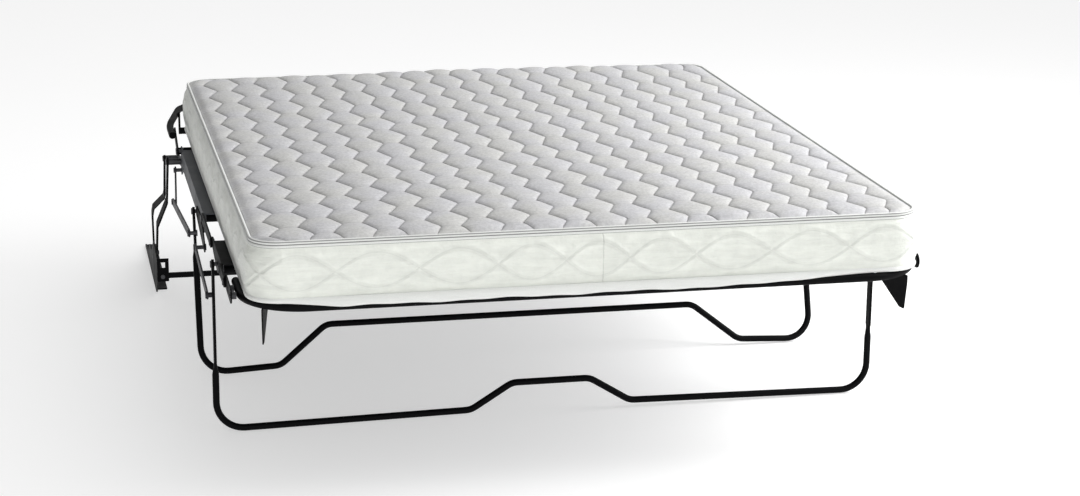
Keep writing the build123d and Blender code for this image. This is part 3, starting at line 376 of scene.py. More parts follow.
def deck_finish(colour):
    """Woven deck cloth."""
    material, tree, shader = start_material("woven deck cloth")
    spot = tree.nodes.new("ShaderNodeTexCoord").outputs["Object"]
    got = use(tree, "Woven threads", {"Place": spot, "Threads per metre": 420.0, "Depth": 0.0003})
    tree.links.new(tint(tree, rgba(colour), got["Shade"]), shader.inputs["Base Color"])
    shader.inputs["Roughness"].default_value = 0.75
    raise_surface(tree, shader, got["Height"])
    return material


def panel_finish(settings):
    """Quilted top: zigzag stitch lines, gathers beside them and a damask speckle, with painted shade along the stitch
    lines, in their valleys and at the necks, painted light and shade on the gathers, and painted sheen on the speckle's
    glossy flecks.
    """
    material, tree, shader = start_material("quilted panel")
    cloth = uv_place(tree, "fabric")
    quilt = split(tree, uv_place(tree, "quilt"))
    pitch = settings.width / settings.channels
    off_line = calc(tree, "ABSOLUTE", calc(tree, "SUBTRACT", quilt[0], calc(tree, "ROUND", quilt[0])))
    off_line = calc(tree, "MULTIPLY", off_line, pitch)
    line = fade(tree, off_line, 0.0004, 0.0024, 1.0, 0.0)
    valley = fade(tree, off_line, 0.0, 0.010, 1.0, 0.0)
    odd = calc(tree, "MODULO", calc(tree, "FLOOR", quilt[0]), 2.0)
    phase = calc(tree, "ADD", quilt[1], calc(tree, "MULTIPLY", odd, 0.5))
    off_neck = calc(tree, "ABSOLUTE", calc(tree, "SUBTRACT", calc(tree, "FRACT", phase), 0.5))
    crease = fade(tree, off_neck, 0.004, 0.035, 1.0, 0.0)
    gather = noise(tree, stretch(tree, cloth, (60, 190, 1)), 1.0, 2.0)
    gather = calc(tree, "MULTIPLY", calc(tree, "SUBTRACT", gather, 0.5), valley)
    speckle = noise(tree, cloth, 140.0, 4.0, 0.7)
    leaf = place(tree, "ShaderNodeTexVoronoi", {"Vector": cloth, "Scale": 75.0}, feature="SMOOTH_F1").outputs[0]
    threads = use(tree, "Woven threads", {"Place": cloth, "Threads per metre": 1100.0, "Depth": 0.00008})
    # The speckle is partly painted sheen: flecks are lighter where the satin is glossier; the leaf is the damask's own
    # tone.
    tone = calc(tree, "ADD", fade(tree, speckle, 0.40, 0.60, -0.07, 0.07), fade(tree, leaf, 0.2, 0.6, 0.03, -0.04))
    # Painted light and shade on the gathers beside the stitch lines: lighter where they rise, darker where they sink.
    tone = calc(tree, "ADD", calc(tree, "MULTIPLY", gather, 0.25), calc(tree, "ADD", tone, 1.0))
    # Painted shade in the valleys beside the stitch lines, along the stitch lines themselves and in the creases at the
    # necks.
    tone = darken(tree, tone, (valley, 0.04), (line, 0.16), (crease, 0.10))
    hue = fade(tree, noise(tree, cloth, 8.0, 2.0), 0.35, 0.65)
    shade = mix(tree, hue, (1.01, 1.005, 0.97, 1), (0.99, 0.988, 1.01, 1))
    shade = mix(tree, 1.0, rgba(settings.panel_colour), shade, "MULTIPLY")
    tree.links.new(tint(tree, shade, tone), shader.inputs["Base Color"])
    tree.links.new(fade(tree, speckle, 0.35, 0.65, 0.62, 0.38), shader.inputs["Roughness"])
    shader.inputs["Sheen Weight"].default_value = 0.1
    shader.inputs["Specular IOR Level"].default_value = 0.55
    height = add_reliefs(
        tree, threads["Height"], (speckle, 0.0002), (gather, 0.0022), (line, -0.0018), (crease, -0.0008))
    raise_surface(tree, shader, height, 0.8)
    return material


def border_finish(settings):
    """Satin border: ogee quilting lines, long wrinkles and a closing seam, with painted shade along the lines and in
    their valleys, and painted light and shade on the wrinkles and puckers.
    """
    material, tree, shader = start_material("satin border")
    cloth = uv_place(tree, "fabric")
    axes = split(tree, cloth)
    middle = mattress_low + settings.border_height / 2
    sway = calc(tree, "MULTIPLY", calc(tree, "SINE", calc(tree, "MULTIPLY", axes[0], OGEE_SWAY_TURN)), OGEE_SWAY)
    wave = calc(tree, "COSINE", calc(tree, "ADD", calc(tree, "MULTIPLY", axes[0], 2 * math.pi / OGEE_LENGTH), sway))
    wave = calc(tree, "MULTIPLY", wave, OGEE_RISE)
    level = calc(tree, "SUBTRACT", axes[1], middle)
    near = calc(tree, "MINIMUM", calc(tree, "ABSOLUTE", calc(tree, "SUBTRACT", level, wave)),
                calc(tree, "ABSOLUTE", calc(tree, "ADD", level, wave)))
    line = fade(tree, near, 0.0003, 0.0018, 1.0, 0.0)
    valley = fade(tree, near, 0.0, 0.009, 1.0, 0.0)
    off_seam = calc(tree, "ABSOLUTE", calc(tree, "SUBTRACT", axes[0], SEAM_X))
    seam = fade(tree, off_seam, 0.0004, 0.0022, 1.0, 0.0)
    wrinkle = noise(tree, stretch(tree, cloth, (9, 60, 1)), 1.0, 5.0, 0.65)
    pucker = noise(tree, stretch(tree, cloth, (34, 26, 1)), 1.0, 3.0, 0.6)
    threads = use(tree, "Woven threads", {"Place": cloth, "Threads per metre": 1300.0, "Depth": 0.00005})
    # Painted light and shade on the wrinkles and puckers: lighter where they rise, darker where they sink.
    tone = calc(tree, "MULTIPLY", fade(tree, wrinkle, 0.35, 0.65, 0.95, 1.04),
                fade(tree, pucker, 0.35, 0.65, 0.975, 1.02))
    # Painted shade along the ogee quilting lines and in their valleys; the seam line is also drawn darker.
    tone = darken(tree, tone, (line, 0.085), (valley, 0.045), (seam, 0.16))
    tree.links.new(tint(tree, rgba(settings.border_colour), tone), shader.inputs["Base Color"])
    shader.inputs["Roughness"].default_value = 0.42
    shader.inputs["Sheen Weight"].default_value = 0.2
    height = add_reliefs(
        tree, threads["Height"], (wrinkle, 0.0060), (pucker, 0.0045), (valley, -0.0030), (seam, -0.001))
    raise_surface(tree, shader, height, 0.7)
    return material


def tape_finish(name, colour, ribs, edge=None):
    """Ribbed edge tape with painted shade in the grooves below its edge, or plain ticking when no edge is given."""
    material, tree, shader = start_material(name)
    cloth = uv_place(tree, "fabric")
    got = use(tree, "Woven threads", {"Place": cloth, "Threads per metre": ribs, "Depth": 0.00015})
    shade = got["Shade"]
    if edge is not None:
        level = split(tree, cloth)[1]
        # Painted shade: the tape is darker in each groove beside the rolls of the top tape.
        for groove in TAPE_GROOVES:
            off = calc(tree, "ABSOLUTE", calc(tree, "SUBTRACT", level, edge - groove))
            shade = calc(tree, "MULTIPLY", shade, fade(tree, off, 0.0004, 0.0019, 0.30, 1.0))
    tree.links.new(tint(tree, rgba(colour, 1.05), shade), shader.inputs["Base Color"])
    shader.inputs["Roughness"].default_value = 0.6
    shader.inputs["Sheen Weight"].default_value = 0.15
    raise_surface(tree, shader, got["Height"])
    return material


# Meshes

def grid_quads(index):
    """Quads between the rows and columns of a grid of point numbers."""
    return np.stack([index[:-1, :-1], index[:-1, 1:], index[1:, 1:], index[1:, :-1]], 2).reshape(-1, 4)


def add_piece(name, points, faces, materials, layers=None, slots=None, sharp_angle=None, normals=None):
    """Smooth mesh object with its UV layers, material slots, and sharp edges or normals of its own."""
    mesh = bpy.data.meshes.new(name)
    mesh.from_pydata(points, [], faces)
    for layer, values in (layers or {}).items():
        mesh.uv_layers.new(name=layer).data.foreach_set("uv", np.array(values, np.float32).ravel())
    if slots is not None:
        mesh.polygons.foreach_set("material_index", np.array(slots, np.int32))
    mesh.polygons.foreach_set("use_smooth", np.ones(len(faces), bool))
    mesh.update()
    if sharp_angle is not None:
        mesh.set_sharp_from_angle(angle=math.radians(sharp_angle))
    if normals is not None:
        mesh.normals_split_custom_set(normals.tolist())
    for material in materials:
        mesh.materials.append(material)
    made = bpy.data.objects.new(name, mesh)
    bpy.context.scene.collection.objects.link(made)
    return made


def mean_normals(points, quads):
    """Normal at each point, from the quads round it."""
    normals = np.zeros_like(points)
    corners = points[quads]
    facing = np.cross(corners[:, 2] - corners[:, 0], corners[:, 3] - corners[:, 1])
    for corner in range(4):
        np.add.at(normals, quads[:, corner], facing)
    return normals / np.linalg.norm(normals, axis=1, keepdims=True)


# Mattress

def zigzag_wave(phase):
    """Triangle wave between -1 and 1, at its top where the phase is a half."""
    return 1 - 4 * np.abs(phase % 1.0 - 0.5)


def smooth(value):
    """Smooth step of values from 0 to 1."""
    value = np.clip(value, 0, 1)
    return value * value * (3 - 2 * value)


def quilt_phase(distance, settings):
    """Number of quilt cells between the foot edge and a place."""
    return np.log(1 + settings.cell_growth * distance / settings.first_cell) / settings.cell_growth


def mattress_rows(settings):
    """Rows across the top, each a place along the bed, turn of the corner and end, and the numbers of the cut rows."""
    radius, length = settings.corner_radius, mattress_head_y - mattress_foot_y
    corner = np.radians(np.arange(0, 91, 9))
    growth = settings.cell_growth
    steps = np.arange(1, int(ROWS_PER_CELL * quilt_phase(length, settings))) / ROWS_PER_CELL
    places = settings.first_cell * (np.exp(steps * growth) - 1) / growth
    cuts = [y - mattress_foot_y for y in cut_places]
    kept = [y for y in places if radius + ROW_GAP < y < length - radius - ROW_GAP
            and min(abs(y - cut) for cut in cuts) > ROW_GAP]
    rows = [(radius, turn, -1) for turn in corner] + [(y, math.pi / 2, 0) for y in sorted(kept + cuts)]
    rows += [(length - radius, turn, 1) for turn in corner[::-1]]
    return np.array(rows), [rows.index((cut, math.pi / 2, 0)) for cut in cuts]


def stitch_lines(settings, phase, row_half):
    """Place across the bed of each stitch line on each row, drawn in at the corners."""
    half, inset = settings.width / 2, TOP_TAPE[0][0] / 1000
    pitch = settings.width / settings.channels
    number = np.arange(settings.channels + 1)
    swing = zigzag_wave(phase[:, None] + 0.5 * (number % 2)[None, :])
    lines = -half + pitch * number[None, :] + settings.zigzag * swing
    lines += LINE_SWAY * np.sin(5.1 * phase[:, None] + 2.3 * number[None, :])
    lines[:, 0], lines[:, -1] = -half + inset, half - inset
    hold = half - 2 * settings.corner_radius
    squeeze = (row_half - hold) / (half - inset - hold)
    drawn_in = np.sign(lines) * (hold + (np.abs(lines) - hold) * squeeze[:, None])
    return np.where(np.abs(lines) > hold, drawn_in, lines)


def top_level(settings, x, y, lines, across, phase):
    """Level of the top: crown, puffs that thin out at their necks, and slow unevenness."""
    half, radius, inset = settings.width / 2, settings.corner_radius, TOP_TAPE[0][0] / 1000
    corner_x, corner_y = np.abs(x) - (half - radius), np.abs(y - (mattress_foot_y + mattress_head_y) / 2)
    corner_y = corner_y - ((mattress_head_y - mattress_foot_y) / 2 - radius)
    outside = np.hypot(np.maximum(corner_x, 0), np.maximum(corner_y, 0)) + np.minimum(np.maximum(corner_x, corner_y), 0)
    depth = radius - outside - inset
    part = across % 1.0
    swell = (4 * part * (1 - part))[None, :] ** 0.55
    width_here = np.repeat(np.diff(lines, axis=1), len(ACROSS_CHANNEL), 1)
    width_here = np.concatenate([width_here, width_here[:, -1:]], 1) / (settings.width / settings.channels)
    channel = np.minimum(np.floor(across), settings.channels - 1)
    neck = np.abs((phase[:, None] + 0.5 * (channel % 2)[None, :]) % 1.0 - 0.5)
    pinch = 1 - NECK_DEPTH * np.exp(-((neck / NECK_SPREAD) ** 2))
    puff = settings.puff * swell * pinch * np.sqrt(np.clip(width_here, 0.3, 1.4))
    slow = np.sin(7.3 * x + 2.1 * y) + np.sin(4.1 * x - 9.7 * y + 1.3) + np.sin(15.0 * x + 11.0 * y + 0.6)
    edge_z = mattress_low + settings.border_height
    z = edge_z - 0.001 + settings.crown * (1 - (x / half) ** 2) * smooth(depth / CROWN_REACH)
    return z + (puff + UNEVENNESS * slow) * smooth(depth / PUFF_REACH)


def wall_profile():
    """Inset and level of a wall from the top tape down to the bottom tape, in metres."""
    high, low = TOP_TAPE[-1][1], BOTTOM_TAPE[0][1]
    border = []
    for step in range(BORDER_STEPS):
        fall = (step + 0.6) / (BORDER_STEPS + 0.2)
        bulge = 5 * fall ** 1.6 + 11.2 * (1 - fall) ** 6 - 5 * fall * (1 - fall)
        border.append((bulge, high + fall * (low - high)))
    return np.array([*TOP_TAPE, *border, *BOTTOM_TAPE]) / 1000


def wall_points(settings, outline, facing, run):
    """Points down the wall round the mattress, with the border's quilting, and their levels."""
    profile = wall_profile()
    level = mattress_low + settings.border_height + profile[:, 1]
    middle = mattress_low + settings.border_height / 2
    turn = 2 * math.pi * run / OGEE_LENGTH + OGEE_SWAY * np.sin(OGEE_SWAY_TURN * run)
    wave = OGEE_RISE * np.cos(turn)[:, None]
    near = np.minimum(np.abs(level - middle - wave), np.abs(level - middle + wave))
    soft = smooth(np.minimum(level - level[LAST_BORDER], level[FIRST_BORDER] - level) / BORDER_FADE)
    ripple = RIPPLE_DEPTH * np.sin(9 * run)[:, None] * np.sin(60 * level)[None, :]
    push = (VALLEY_DEPTH * (1 - smooth(near / VALLEY_REACH)) + ripple) * soft
    reach = profile[:, 0][None, :] - push
    return np.stack([
        outline[:, :1] - facing[:, :1] * reach, outline[:, 1:] - facing[:, 1:] * reach,
        np.repeat(level[None, :], len(run), 0),
    ], 2), level


def top_surface(settings, row_half, row_y):
    """Points of the top, row by row in columns that follow the stitch lines, and their places in the quilting."""
    phase = quilt_phase(row_y - mattress_foot_y, settings)
    lines = stitch_lines(settings, phase, row_half)
    share = np.array(ACROSS_CHANNEL)
    grid = lines[:, :-1, None] * (1 - share) + lines[:, 1:, None] * share
    x = np.concatenate([grid.reshape(len(lines), -1), lines[:, -1:]], 1)
    y = np.repeat(row_y[:, None], x.shape[1], 1)
    across = np.append((np.arange(settings.channels)[:, None] + share).ravel(), settings.channels)
    top = np.stack([x, y, top_level(settings, x, y, lines, across, phase)], 2)
    return top, np.stack([np.broadcast_to(across, x.shape), np.repeat(phase[:, None], x.shape[1], 1)], 2)


def wall_path(settings, front, back, side, side_normal):
    """Path along the foot edge, up the right side, back along the head edge and down the left side.

    Gives its outline, its facing, the place on the cloth along it, and that place where the right side ends.
    """
    one, mirror = np.ones(len(front)), np.array([-1, 1])
    outline = np.concatenate([
        np.stack([front, one * mattress_foot_y], 1), side[1:-1],
        np.stack([back, one * mattress_head_y], 1), (side[1:-1] * mirror)[::-1]])
    facing = np.concatenate([
        np.stack([one * 0, -one], 1), side_normal[1:-1], np.stack([one * 0, one], 1),
        (side_normal[1:-1] * mirror)[::-1]])
    straight = settings.width / 2 - settings.corner_radius
    arc = np.concatenate([[0], np.cumsum(np.hypot(*np.diff(side, axis=0).T))]) + straight
    run = np.concatenate([front, arc[1:-1], arc[-1] + straight - back, -arc[1:-1][::-1]])
    return outline, facing, run, arc[-1]


def wall_faces(chain, run, side_end, level, last_row, last_column):
    """Quads of the wall, the row of the top that each hangs from, and their places on the cloth."""
    around, deep = len(run), len(level) - 1
    position = np.arange(around)
    after = np.roll(position, -1)
    quads = np.stack([chain[:, :-1], chain[:, 1:], chain[after, 1:], chain[after, :-1]], 2).reshape(-1, 4)
    row = np.select(
        [position < last_column, position < last_column + last_row, position < 2 * last_column + last_row],
        [0, position - last_column, last_row - 1], around - 1 - position)
    # The left side counts down from nothing at the foot edge, so its first quad starts in that count too
    here = run.copy()
    here[2 * last_column + last_row] = -side_end
    here, there = (np.repeat(place_along[:, None], deep, 1) for place_along in (here, run[after]))
    high, low = (np.broadcast_to(part, (around, deep)) for part in (level[:-1], level[1:]))
    corners = ((here, high), (here, low), (there, low), (there, high))
    return quads, np.repeat(row, deep), np.stack([np.stack(pair, 2) for pair in corners], 2).reshape(-1, 4, 2)


def mattress_surface(settings):
    """Points, normals, faces with their places, and layout of the whole mattress skin."""
    radius, inset = settings.corner_radius, TOP_TAPE[0][0] / 1000
    rows, cut_rows = mattress_rows(settings)
    centre_y, turn, end = rows.T
    side_normal = np.stack([np.sin(turn), end * np.cos(turn)], 1)
    side = np.stack([np.full(len(rows), settings.width / 2 - radius), centre_y + mattress_foot_y], 1)
    side = side + radius * side_normal
    row_half, row_y = (side - inset * side_normal).T
    top, stitch = top_surface(settings, row_half, row_y)
    outline, facing, run, side_end = wall_path(settings, top[0, :, 0], top[-1, ::-1, 0], side, side_normal)
    wall, level = wall_points(settings, outline, facing, run)
    points = np.concatenate([top.reshape(-1, 3), wall[:, 1:].reshape(-1, 3)])

    index = np.arange(stitch[:, :, 0].size).reshape(stitch.shape[:2])
    last_row, last_column = (count - 1 for count in index.shape)
    ring = np.concatenate([index[0], index[1:-1, -1], index[-1][::-1], index[1:-1, 0][::-1]])
    below = index.size + np.arange(len(run) * (len(level) - 1)).reshape(len(run), -1)
    chain = np.concatenate([ring[:, None], below], 1)
    top_quads = grid_quads(index)
    wall_quads, wall_rows, wall_fabric = wall_faces(chain, run, side_end, level, last_row, last_column)
    band = np.arange(len(level) - 1)
    wall_slots = np.where((band >= FIRST_BORDER) & (band < LAST_BORDER), BORDER_SLOT, TAPE_SLOT)
    faces = {
        "quads": np.concatenate([top_quads, wall_quads]),
        "stretch_row": np.concatenate([np.repeat(np.arange(last_row), last_column), wall_rows]),
        "slot": np.concatenate([np.full(len(top_quads), PANEL_SLOT), np.tile(wall_slots, len(run))]),
        "fabric": np.concatenate([points[:, :2][top_quads], wall_fabric]),
        "quilt": np.concatenate([stitch.reshape(-1, 2)[top_quads], np.zeros((len(wall_quads), 4, 2))]),
    }
    layout = {"index": index, "chain": chain, "last_row": last_row, "last_column": last_column, "cuts": cut_rows}
    return points, mean_normals(points, faces["quads"]), faces, layout


def closing_faces(layout, first, last):
    """Outline and facing of each strip of the underside, and of the caps where a stretch is cut."""
    index, chain = layout["index"], layout["chain"]
    last_row, last_column = layout["last_row"], layout["last_column"]

    def right(row):
        """Points down the right wall at a row."""
        return chain[last_column + row]

    def left(row):
        """Points down the left wall at a row."""
        return chain[(len(chain) - row) % len(chain)]

    for row in range(first, last):
        if row == 0:
            outline = [*chain[: last_column + 1, -1], right(1)[-1], left(1)[-1]]
        elif row == last_row - 1:
            start = last_column + last_row
            outline = [left(row)[-1], right(row)[-1], *chain[start: start + last_column + 1, -1]]
        else:
            outline = [left(row)[-1], right(row)[-1], right(row + 1)[-1], left(row + 1)[-1]]
        yield outline[::-1], (0, 0, -1)
    for row, facing in ((first, -1), (last, 1)):
        if 0 < row < last_row:
            yield [*index[row], *right(row)[1:], *left(row)[1:][::-1]][::facing], (0, facing, 0)


def cover_piece(name, skin, first, last, materials):
    """One stretch of the mattress skin, closed with caps and an underside."""
    points, normals, faces, layout = skin
    mine = (faces["stretch_row"] >= first) & (faces["stretch_row"] < last)
    quads = faces["quads"][mine]
    polygons = quads.tolist()
    fabric = [faces["fabric"][mine].reshape(-1, 2)]
    loop_normals = [normals[quads.reshape(-1)]]
    for outline, facing in closing_faces(layout, first, last):
        polygons.append([int(v) for v in outline])
        seen = (0, 1) if facing[2] else (0, 2)
        fabric.append(points[outline][:, seen])
        loop_normals.append(np.repeat([facing], len(outline), 0))
    fabric, loop_normals = np.concatenate(fabric), np.concatenate(loop_normals)
    quilt = faces["quilt"][mine].reshape(-1, 2)
    quilt = np.concatenate([quilt, np.zeros((len(fabric) - len(quilt), 2))])
    slots = [*faces["slot"][mine], *[TICKING_SLOT] * (len(polygons) - len(quads))]

    used = np.unique(np.concatenate([np.array(p) for p in polygons]))
    renumber = np.full(len(points), -1)
    renumber[used] = np.arange(len(used))
    return add_piece(
        name, points[used].tolist(), [renumber[p].tolist() for p in polygons], materials,
        layers={"fabric": fabric, "quilt": quilt}, slots=slots, normals=loop_normals)


def hung_tape(name, settings, material):
    """Bottom tape of the foot edge where it hangs over the front tube."""
    half = settings.width / 2
    xs = np.linspace(-half + HUNG_ENDS[0], half - HUNG_ENDS[1], HUNG_STEPS)
    over = smooth((half - HUNG_STARTS[0] + xs) / HUNG_RISES[0]) * smooth((half - HUNG_STARTS[1] - xs) / HUNG_RISES[1])
    plain, hung = np.array(BOTTOM_TAPE) / 1000, np.array(HUNG_TAPE) / 1000
    # Just inside the wall's own tape where it doesn't hang, and only its free edge sways
    plain[:, 0] += 0.0004
    shape = plain[None] + over[:, None, None] * (hung - plain)[None]
    sway = 0.0012 * np.sin(23 * xs) + 0.0008 * np.sin(61 * xs + 1)
    shape[:, 3:8, 1] += (sway * over)[:, None]
    edge_z = mattress_low + settings.border_height
    rows, deep = len(xs), len(plain)
    x = np.repeat(xs[:, None], deep, 1)
    points = np.stack([x, mattress_foot_y + shape[:, :, 0], edge_z + shape[:, :, 1]], 2).reshape(-1, 3)
    index = np.arange(rows * deep).reshape(rows, deep)
    quads = grid_quads(np.concatenate([index, index[:, :1]], 1))
    faces = quads.tolist() + [index[0].tolist(), index[-1][::-1].tolist()]
    fabric = points[np.concatenate([np.array(face) for face in faces])][:, (0, 2)]
    return add_piece(name, points.tolist(), faces, [material], layers={"fabric": fabric}, sharp_angle=60)


class SOFABED_OT_mattress(bpy.types.Operator):
    """Make the quilted mattress in the stretches that fold with the mechanism"""
    bl_idname = "sofabed.mattress"
    bl_label = "Make Mattress"

    def execute(self, context):
        settings = context.scene.sofabed_mattress
        tape = tape_finish("edge tape", settings.tape_colour, 900.0, mattress_low + settings.border_height)
        ticking = tape_finish("ticking", settings.border_colour, 700.0)
        materials = [panel_finish(settings), border_finish(settings), tape, ticking]
        skin = mattress_surface(settings)
        breaks = [0, *skin[3]["cuts"], skin[3]["last_row"]]
        plan = [
            ("foot", "foot", "foot_section", "foot_section_fold", SECTION_KEEP),
            ("front_bend", "front_bend", "foot_links", "foot_link_fold", BEND_KEEP),
            ("mid", "mid", "mid_section", "mid_section_fold", SECTION_KEEP),
            ("rear_bend", "rear_bend", "mid_links", "mid_link_fold", BEND_KEEP),
            ("body", "body", "body_section", "mid_link_fold", UNDER_STACK_KEEP),
        ]
        for strip in range(1, SLOPE_STRIPS + 1):
            keep = UNDER_STACK_KEEP + (1 - UNDER_STACK_KEEP) * strip / (SLOPE_STRIPS + 1)
            plan.append((f"body_slope_{strip}", "body", "body_section", "mid_link_fold", keep))
        plan += [("body_rear", "body", "body_section", None, None), ("head", "head", None, None, None)]
        for (name, node, body, fold, keep), first, last in zip(plan, breaks, breaks[1:]):
            cover = cover_piece(f"quilted_{name}", skin, first, last, materials)
            if body:
                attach(cover, body)
            else:
                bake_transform(cover)
            if fold:
                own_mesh(cover)
            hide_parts(f"mattress_{node}")
        hem = hung_tape("hung_foot_tape", settings, tape)
        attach(hem, "foot_section")
        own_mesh(hem)
        return {"FINISHED"}


# Deck cloths

def add_hem(points, faces, side, start_y, low, high, settings):
    """Add the corded hem under one side edge to a cloth's points and faces."""
    radius, end_y = settings.hem_radius, high.y - HEM_GAP
    rings = 1 + int((end_y - start_y) / HEM_RING_STEP)
    base = len(points)
    for ring in range(rings + 1):
        place_y = start_y + (end_y - start_y) * ring / rings
        swell = radius * (1 + 0.05 * math.sin(2.1 * ring)) - 0.0003
        share = (place_y - low.y) / (high.y - low.y)
        drop = settings.sag * 4 * share * (1 - share)
        for spoke in range(HEM_SIDES):
            turn = 2 * math.pi * spoke / HEM_SIDES
            points.append((side * (high.x - radius) + swell * math.cos(turn), place_y,
                           high.z - DECK_THICKNESS - drop - radius + 0.0004 + swell * math.sin(turn)))
    for ring in range(rings):
        for spoke in range(HEM_SIDES):
            a, b = (base + ring * HEM_SIDES + (spoke + step) % HEM_SIDES for step in (0, 1))
            faces.append([a, b, b + HEM_SIDES, a + HEM_SIDES])
    faces.append([base + spoke for spoke in range(HEM_SIDES)][::-1])
    faces.append([base + rings * HEM_SIDES + spoke for spoke in range(HEM_SIDES)])


def deck_cloth(name, node, settings, hems, material):
    """Thin stretched cloth with a corded hem under each side edge."""
    low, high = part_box(node)
    count_x, count_y = DECK_COLUMNS, max(4, int((high.y - low.y) / DECK_ROW))
    x, y = np.meshgrid(np.linspace(low.x, high.x, count_x + 1), np.linspace(low.y, high.y, count_y + 1))
    if node == "foot_deck":
        free = np.clip((y - low.y) / FOOT_DECK_CORNER, 0, 1)
        x = x * (1 - (FOOT_DECK_CORNER / high.x) * (1 - free))
    along = (y - low.y) / (high.y - low.y)
    sag = settings.sag * 4 * along * (1 - along)
    ripple = DECK_RIPPLE * np.sin(90 * x + 3 * y) * np.sin(np.pi * along)
    upper = high.z - sag - np.abs(ripple)
    points = np.concatenate([np.stack([x, y, z], 2).reshape(-1, 3) for z in (upper, upper - DECK_THICKNESS)]).tolist()
    index = np.arange(x.size).reshape(x.shape)
    under = index + x.size
    faces = grid_quads(index).tolist() + grid_quads(under)[:, (0, 3, 2, 1)].tolist()
    edge = [*index[0], *index[1:, -1], *index[-1, ::-1][1:], *index[::-1, 0][1:-1]]
    for here, there in zip(edge, edge[1:] + edge[:1]):
        faces.append([int(v) for v in (here, here + x.size, there + x.size, there)])
    if hems:
        start_y = low.y + (FOOT_HEM_GAP if node == "foot_deck" else HEM_GAP)
        for side in (-1, 1):
            add_hem(points, faces, side, start_y, low, high, settings)
    cloth = add_piece(name, points, faces, [material], sharp_angle=40)
    return cloth, (high.x - low.x, high.y - low.y)


class SOFABED_OT_decks(bpy.types.Operator):
    """Make the woven cloths that carry the mattress"""
    bl_idname = "sofabed.decks"
    bl_label = "Make Deck Cloths"

    def execute(self, context):
        settings = context.scene.sofabed_deck
        material = deck_finish(settings.colour)
        for node, body, hems, rests_on in (
            ("body_deck", "body_section", True, ["body_front_tube", "body_rear_tube"]),
            ("mid_deck", "mid_section", True, ["mid_front_tube", "mid_rear_tube"]),
            ("foot_deck", "foot_section", True, ["foot_frame"]),
            ("head_deck", "head_section", False, ["head_frame"]),
            ("rear_deck_bridge", "mid_links", False, ["body_front_tube", "mid_rear_tube"]),
            ("front_deck_bridge", "foot_links", False, ["foot_frame", "mid_front_tube"]),
        ):
            cloth, flat = deck_cloth(f"woven_{node}", node, settings, hems, material)
            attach(cloth, body)
            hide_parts(node)
        return {"FINISHED"}


class SOFABED_OT_steel(bpy.types.Operator):
    """Paint and plate the steel pieces"""
    bl_idname = "sofabed.steel"
    bl_label = "Finish Steel"

    def execute(self, context):
        settings = context.scene.sofabed_steel
        finishes = {
            slot: steel_finish(name, paint, bare, settings.wear, gloss, metal, shine)
            for slot, name, paint, bare, gloss, metal, shine in (
                ("black_paint", "black tube paint", settings.tube_colour, (0.03, 0.03, 0.03), 0.45, 0.0, 0.06),
                ("grey_paint", "grey rail paint", settings.rail_colour, (0.2, 0.2, 0.2), 0.5, 0.1, 0.2),
                ("zinc_plate", "dull zinc", settings.link_colour, (0.30, 0.29, 0.28), 0.5, 0.35, 0.2),
                ("rivet_steel", "rivet steel", (0.07, 0.07, 0.075), (0.3, 0.3, 0.3), 0.55, 0.5, 0.2),
                ("spring_steel", "oiled spring wire", (0.1, 0.1, 0.1), (0.3, 0.3, 0.3), 0.6, 0.85, 0.2),
            )
        }
        for entry in frame["record"]["subparts"]:
            if entry["material_slot"] in finishes:
                piece = frame["nodes"][entry["node"]]
                piece.data.materials.clear()
                piece.data.materials.append(finishes[entry["material_slot"]])
        return {"FINISHED"}


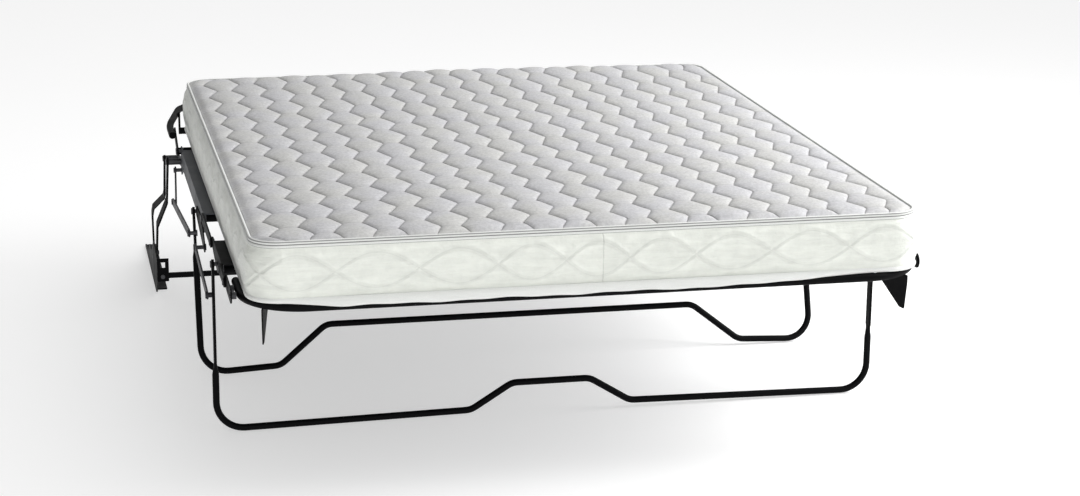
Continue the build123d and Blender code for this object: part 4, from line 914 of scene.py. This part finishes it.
class SOFABED_OT_stage(bpy.types.Operator):
    """Set the floor, the lights and the camera"""
    bl_idname = "sofabed.stage"
    bl_label = "Set Stage"

    def execute(self, context):
        settings = context.scene.sofabed_studio
        bpy.ops.mesh.primitive_plane_add(size=60, location=(0, 0, 0))
        floor = context.active_object
        floor.name = "studio_floor"
        material, tree, shader = start_material("studio floor")
        shader.inputs["Base Color"].default_value = rgba(settings.floor_colour)
        shader.inputs["Roughness"].default_value = 0.9
        shader.inputs["Emission Color"].default_value = (1, 1, 1, 1)
        shader.inputs["Emission Strength"].default_value = settings.floor_glow
        floor.data.materials.append(material)

        world = bpy.data.worlds.new("studio")
        context.scene.world = world
        world.use_nodes = True
        tree, sky = world.node_tree, world.node_tree.nodes["Background"]
        sky.inputs["Color"].default_value = (1, 1, 1, 1)
        aside = split(tree, tree.nodes.new("ShaderNodeTexCoord").outputs["Generated"])[0]
        tree.links.new(fade(tree, aside, -0.9, 0.9, 0.05, 1.1), sky.inputs["Strength"])
        context.scene.view_settings.view_transform = "Standard"

        for name, spot, aim, size, power in (
            ("key", (3.0, -0.7, 2.0), (0.4, -0.1, 0.5), 1.7, settings.key_power),
            ("front", (-2.3, -6.1, 1.2), (-0.3, 0.0, 0.4), 2.6, settings.key_power * 0.66),
            ("top", (1.2, -0.9, 4.6), (0, 0, 0.5), 3.5, settings.key_power * 0.3),
        ):
            lamp = bpy.data.lights.new(name, "AREA")
            lamp.energy, lamp.size = power, size
            light = bpy.data.objects.new(name, lamp)
            light.location = spot
            light.rotation_euler = (Vector(aim) - Vector(spot)).to_track_quat("-Z", "Y").to_euler()
            context.scene.collection.objects.link(light)

        turn, dip, roll = settings.camera_turn, settings.camera_dip, settings.camera_roll
        ahead = Vector((math.sin(turn) * math.cos(dip), math.cos(turn) * math.cos(dip), -math.sin(dip)))
        right = Vector((math.cos(turn), -math.sin(turn), 0))
        up = right.cross(ahead)
        level_right = right * math.cos(roll) + up * math.sin(roll)
        level_up = up * math.cos(roll) - right * math.sin(roll)
        lens = bpy.data.cameras.new("camera")
        lens.lens, lens.sensor_width, lens.sensor_fit = settings.lens, 36, "HORIZONTAL"
        camera = bpy.data.objects.new("camera", lens)
        camera.matrix_world = Matrix.Translation(settings.camera_place) @ Matrix(
            (level_right, level_up, -ahead)).transposed().to_4x4()
        context.scene.collection.objects.link(camera)
        context.scene.camera = camera
        return {"FINISHED"}


class SOFABED_PT_panel(bpy.types.Panel):
    """Sofa bed sizes, colours and steps"""
    bl_idname = "SOFABED_PT_panel"
    bl_label = "Sofa Bed"
    bl_space_type = "VIEW_3D"
    bl_region_type = "UI"
    bl_category = "Sofa Bed"

    def draw(self, context):
        for group, operator, _ in GROUPS:
            box = self.layout.box()
            settings = getattr(context.scene, group)
            for name in settings.__annotations__:
                box.prop(settings, name)
            box.operator(operator)


GROUPS = (
    ("sofabed_studio", "sofabed.stage", StudioSettings), ("sofabed_steel", "sofabed.steel", SteelSettings),
    ("sofabed_deck", "sofabed.decks", DeckSettings), ("sofabed_mattress", "sofabed.mattress", MattressSettings),
)
CLASSES = (
    MattressSettings, SteelSettings, DeckSettings, StudioSettings, SOFABED_OT_mattress, SOFABED_OT_decks,
    SOFABED_OT_steel, SOFABED_OT_stage, SOFABED_PT_panel,
)


def register():
    """Add the classes and the scene's settings."""
    for made in CLASSES:
        bpy.utils.register_class(made)
    for group, _, kind in GROUPS:
        setattr(bpy.types.Scene, group, bpy.props.PointerProperty(type=kind))


def unregister():
    """Take away the scene's settings and the classes."""
    for group, _, _ in GROUPS:
        delattr(bpy.types.Scene, group)
    for made in reversed(CLASSES):
        bpy.utils.unregister_class(made)


def main():
    """Register the add-on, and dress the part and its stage."""
    register()
    make_weave_group()
    make_paint_group()
    bpy.ops.sofabed.stage()
    bpy.ops.sofabed.steel()
    bpy.ops.sofabed.decks()
    bpy.ops.sofabed.mattress()
    bpy.context.view_layer.update()


if __name__ == "__main__":
    main()
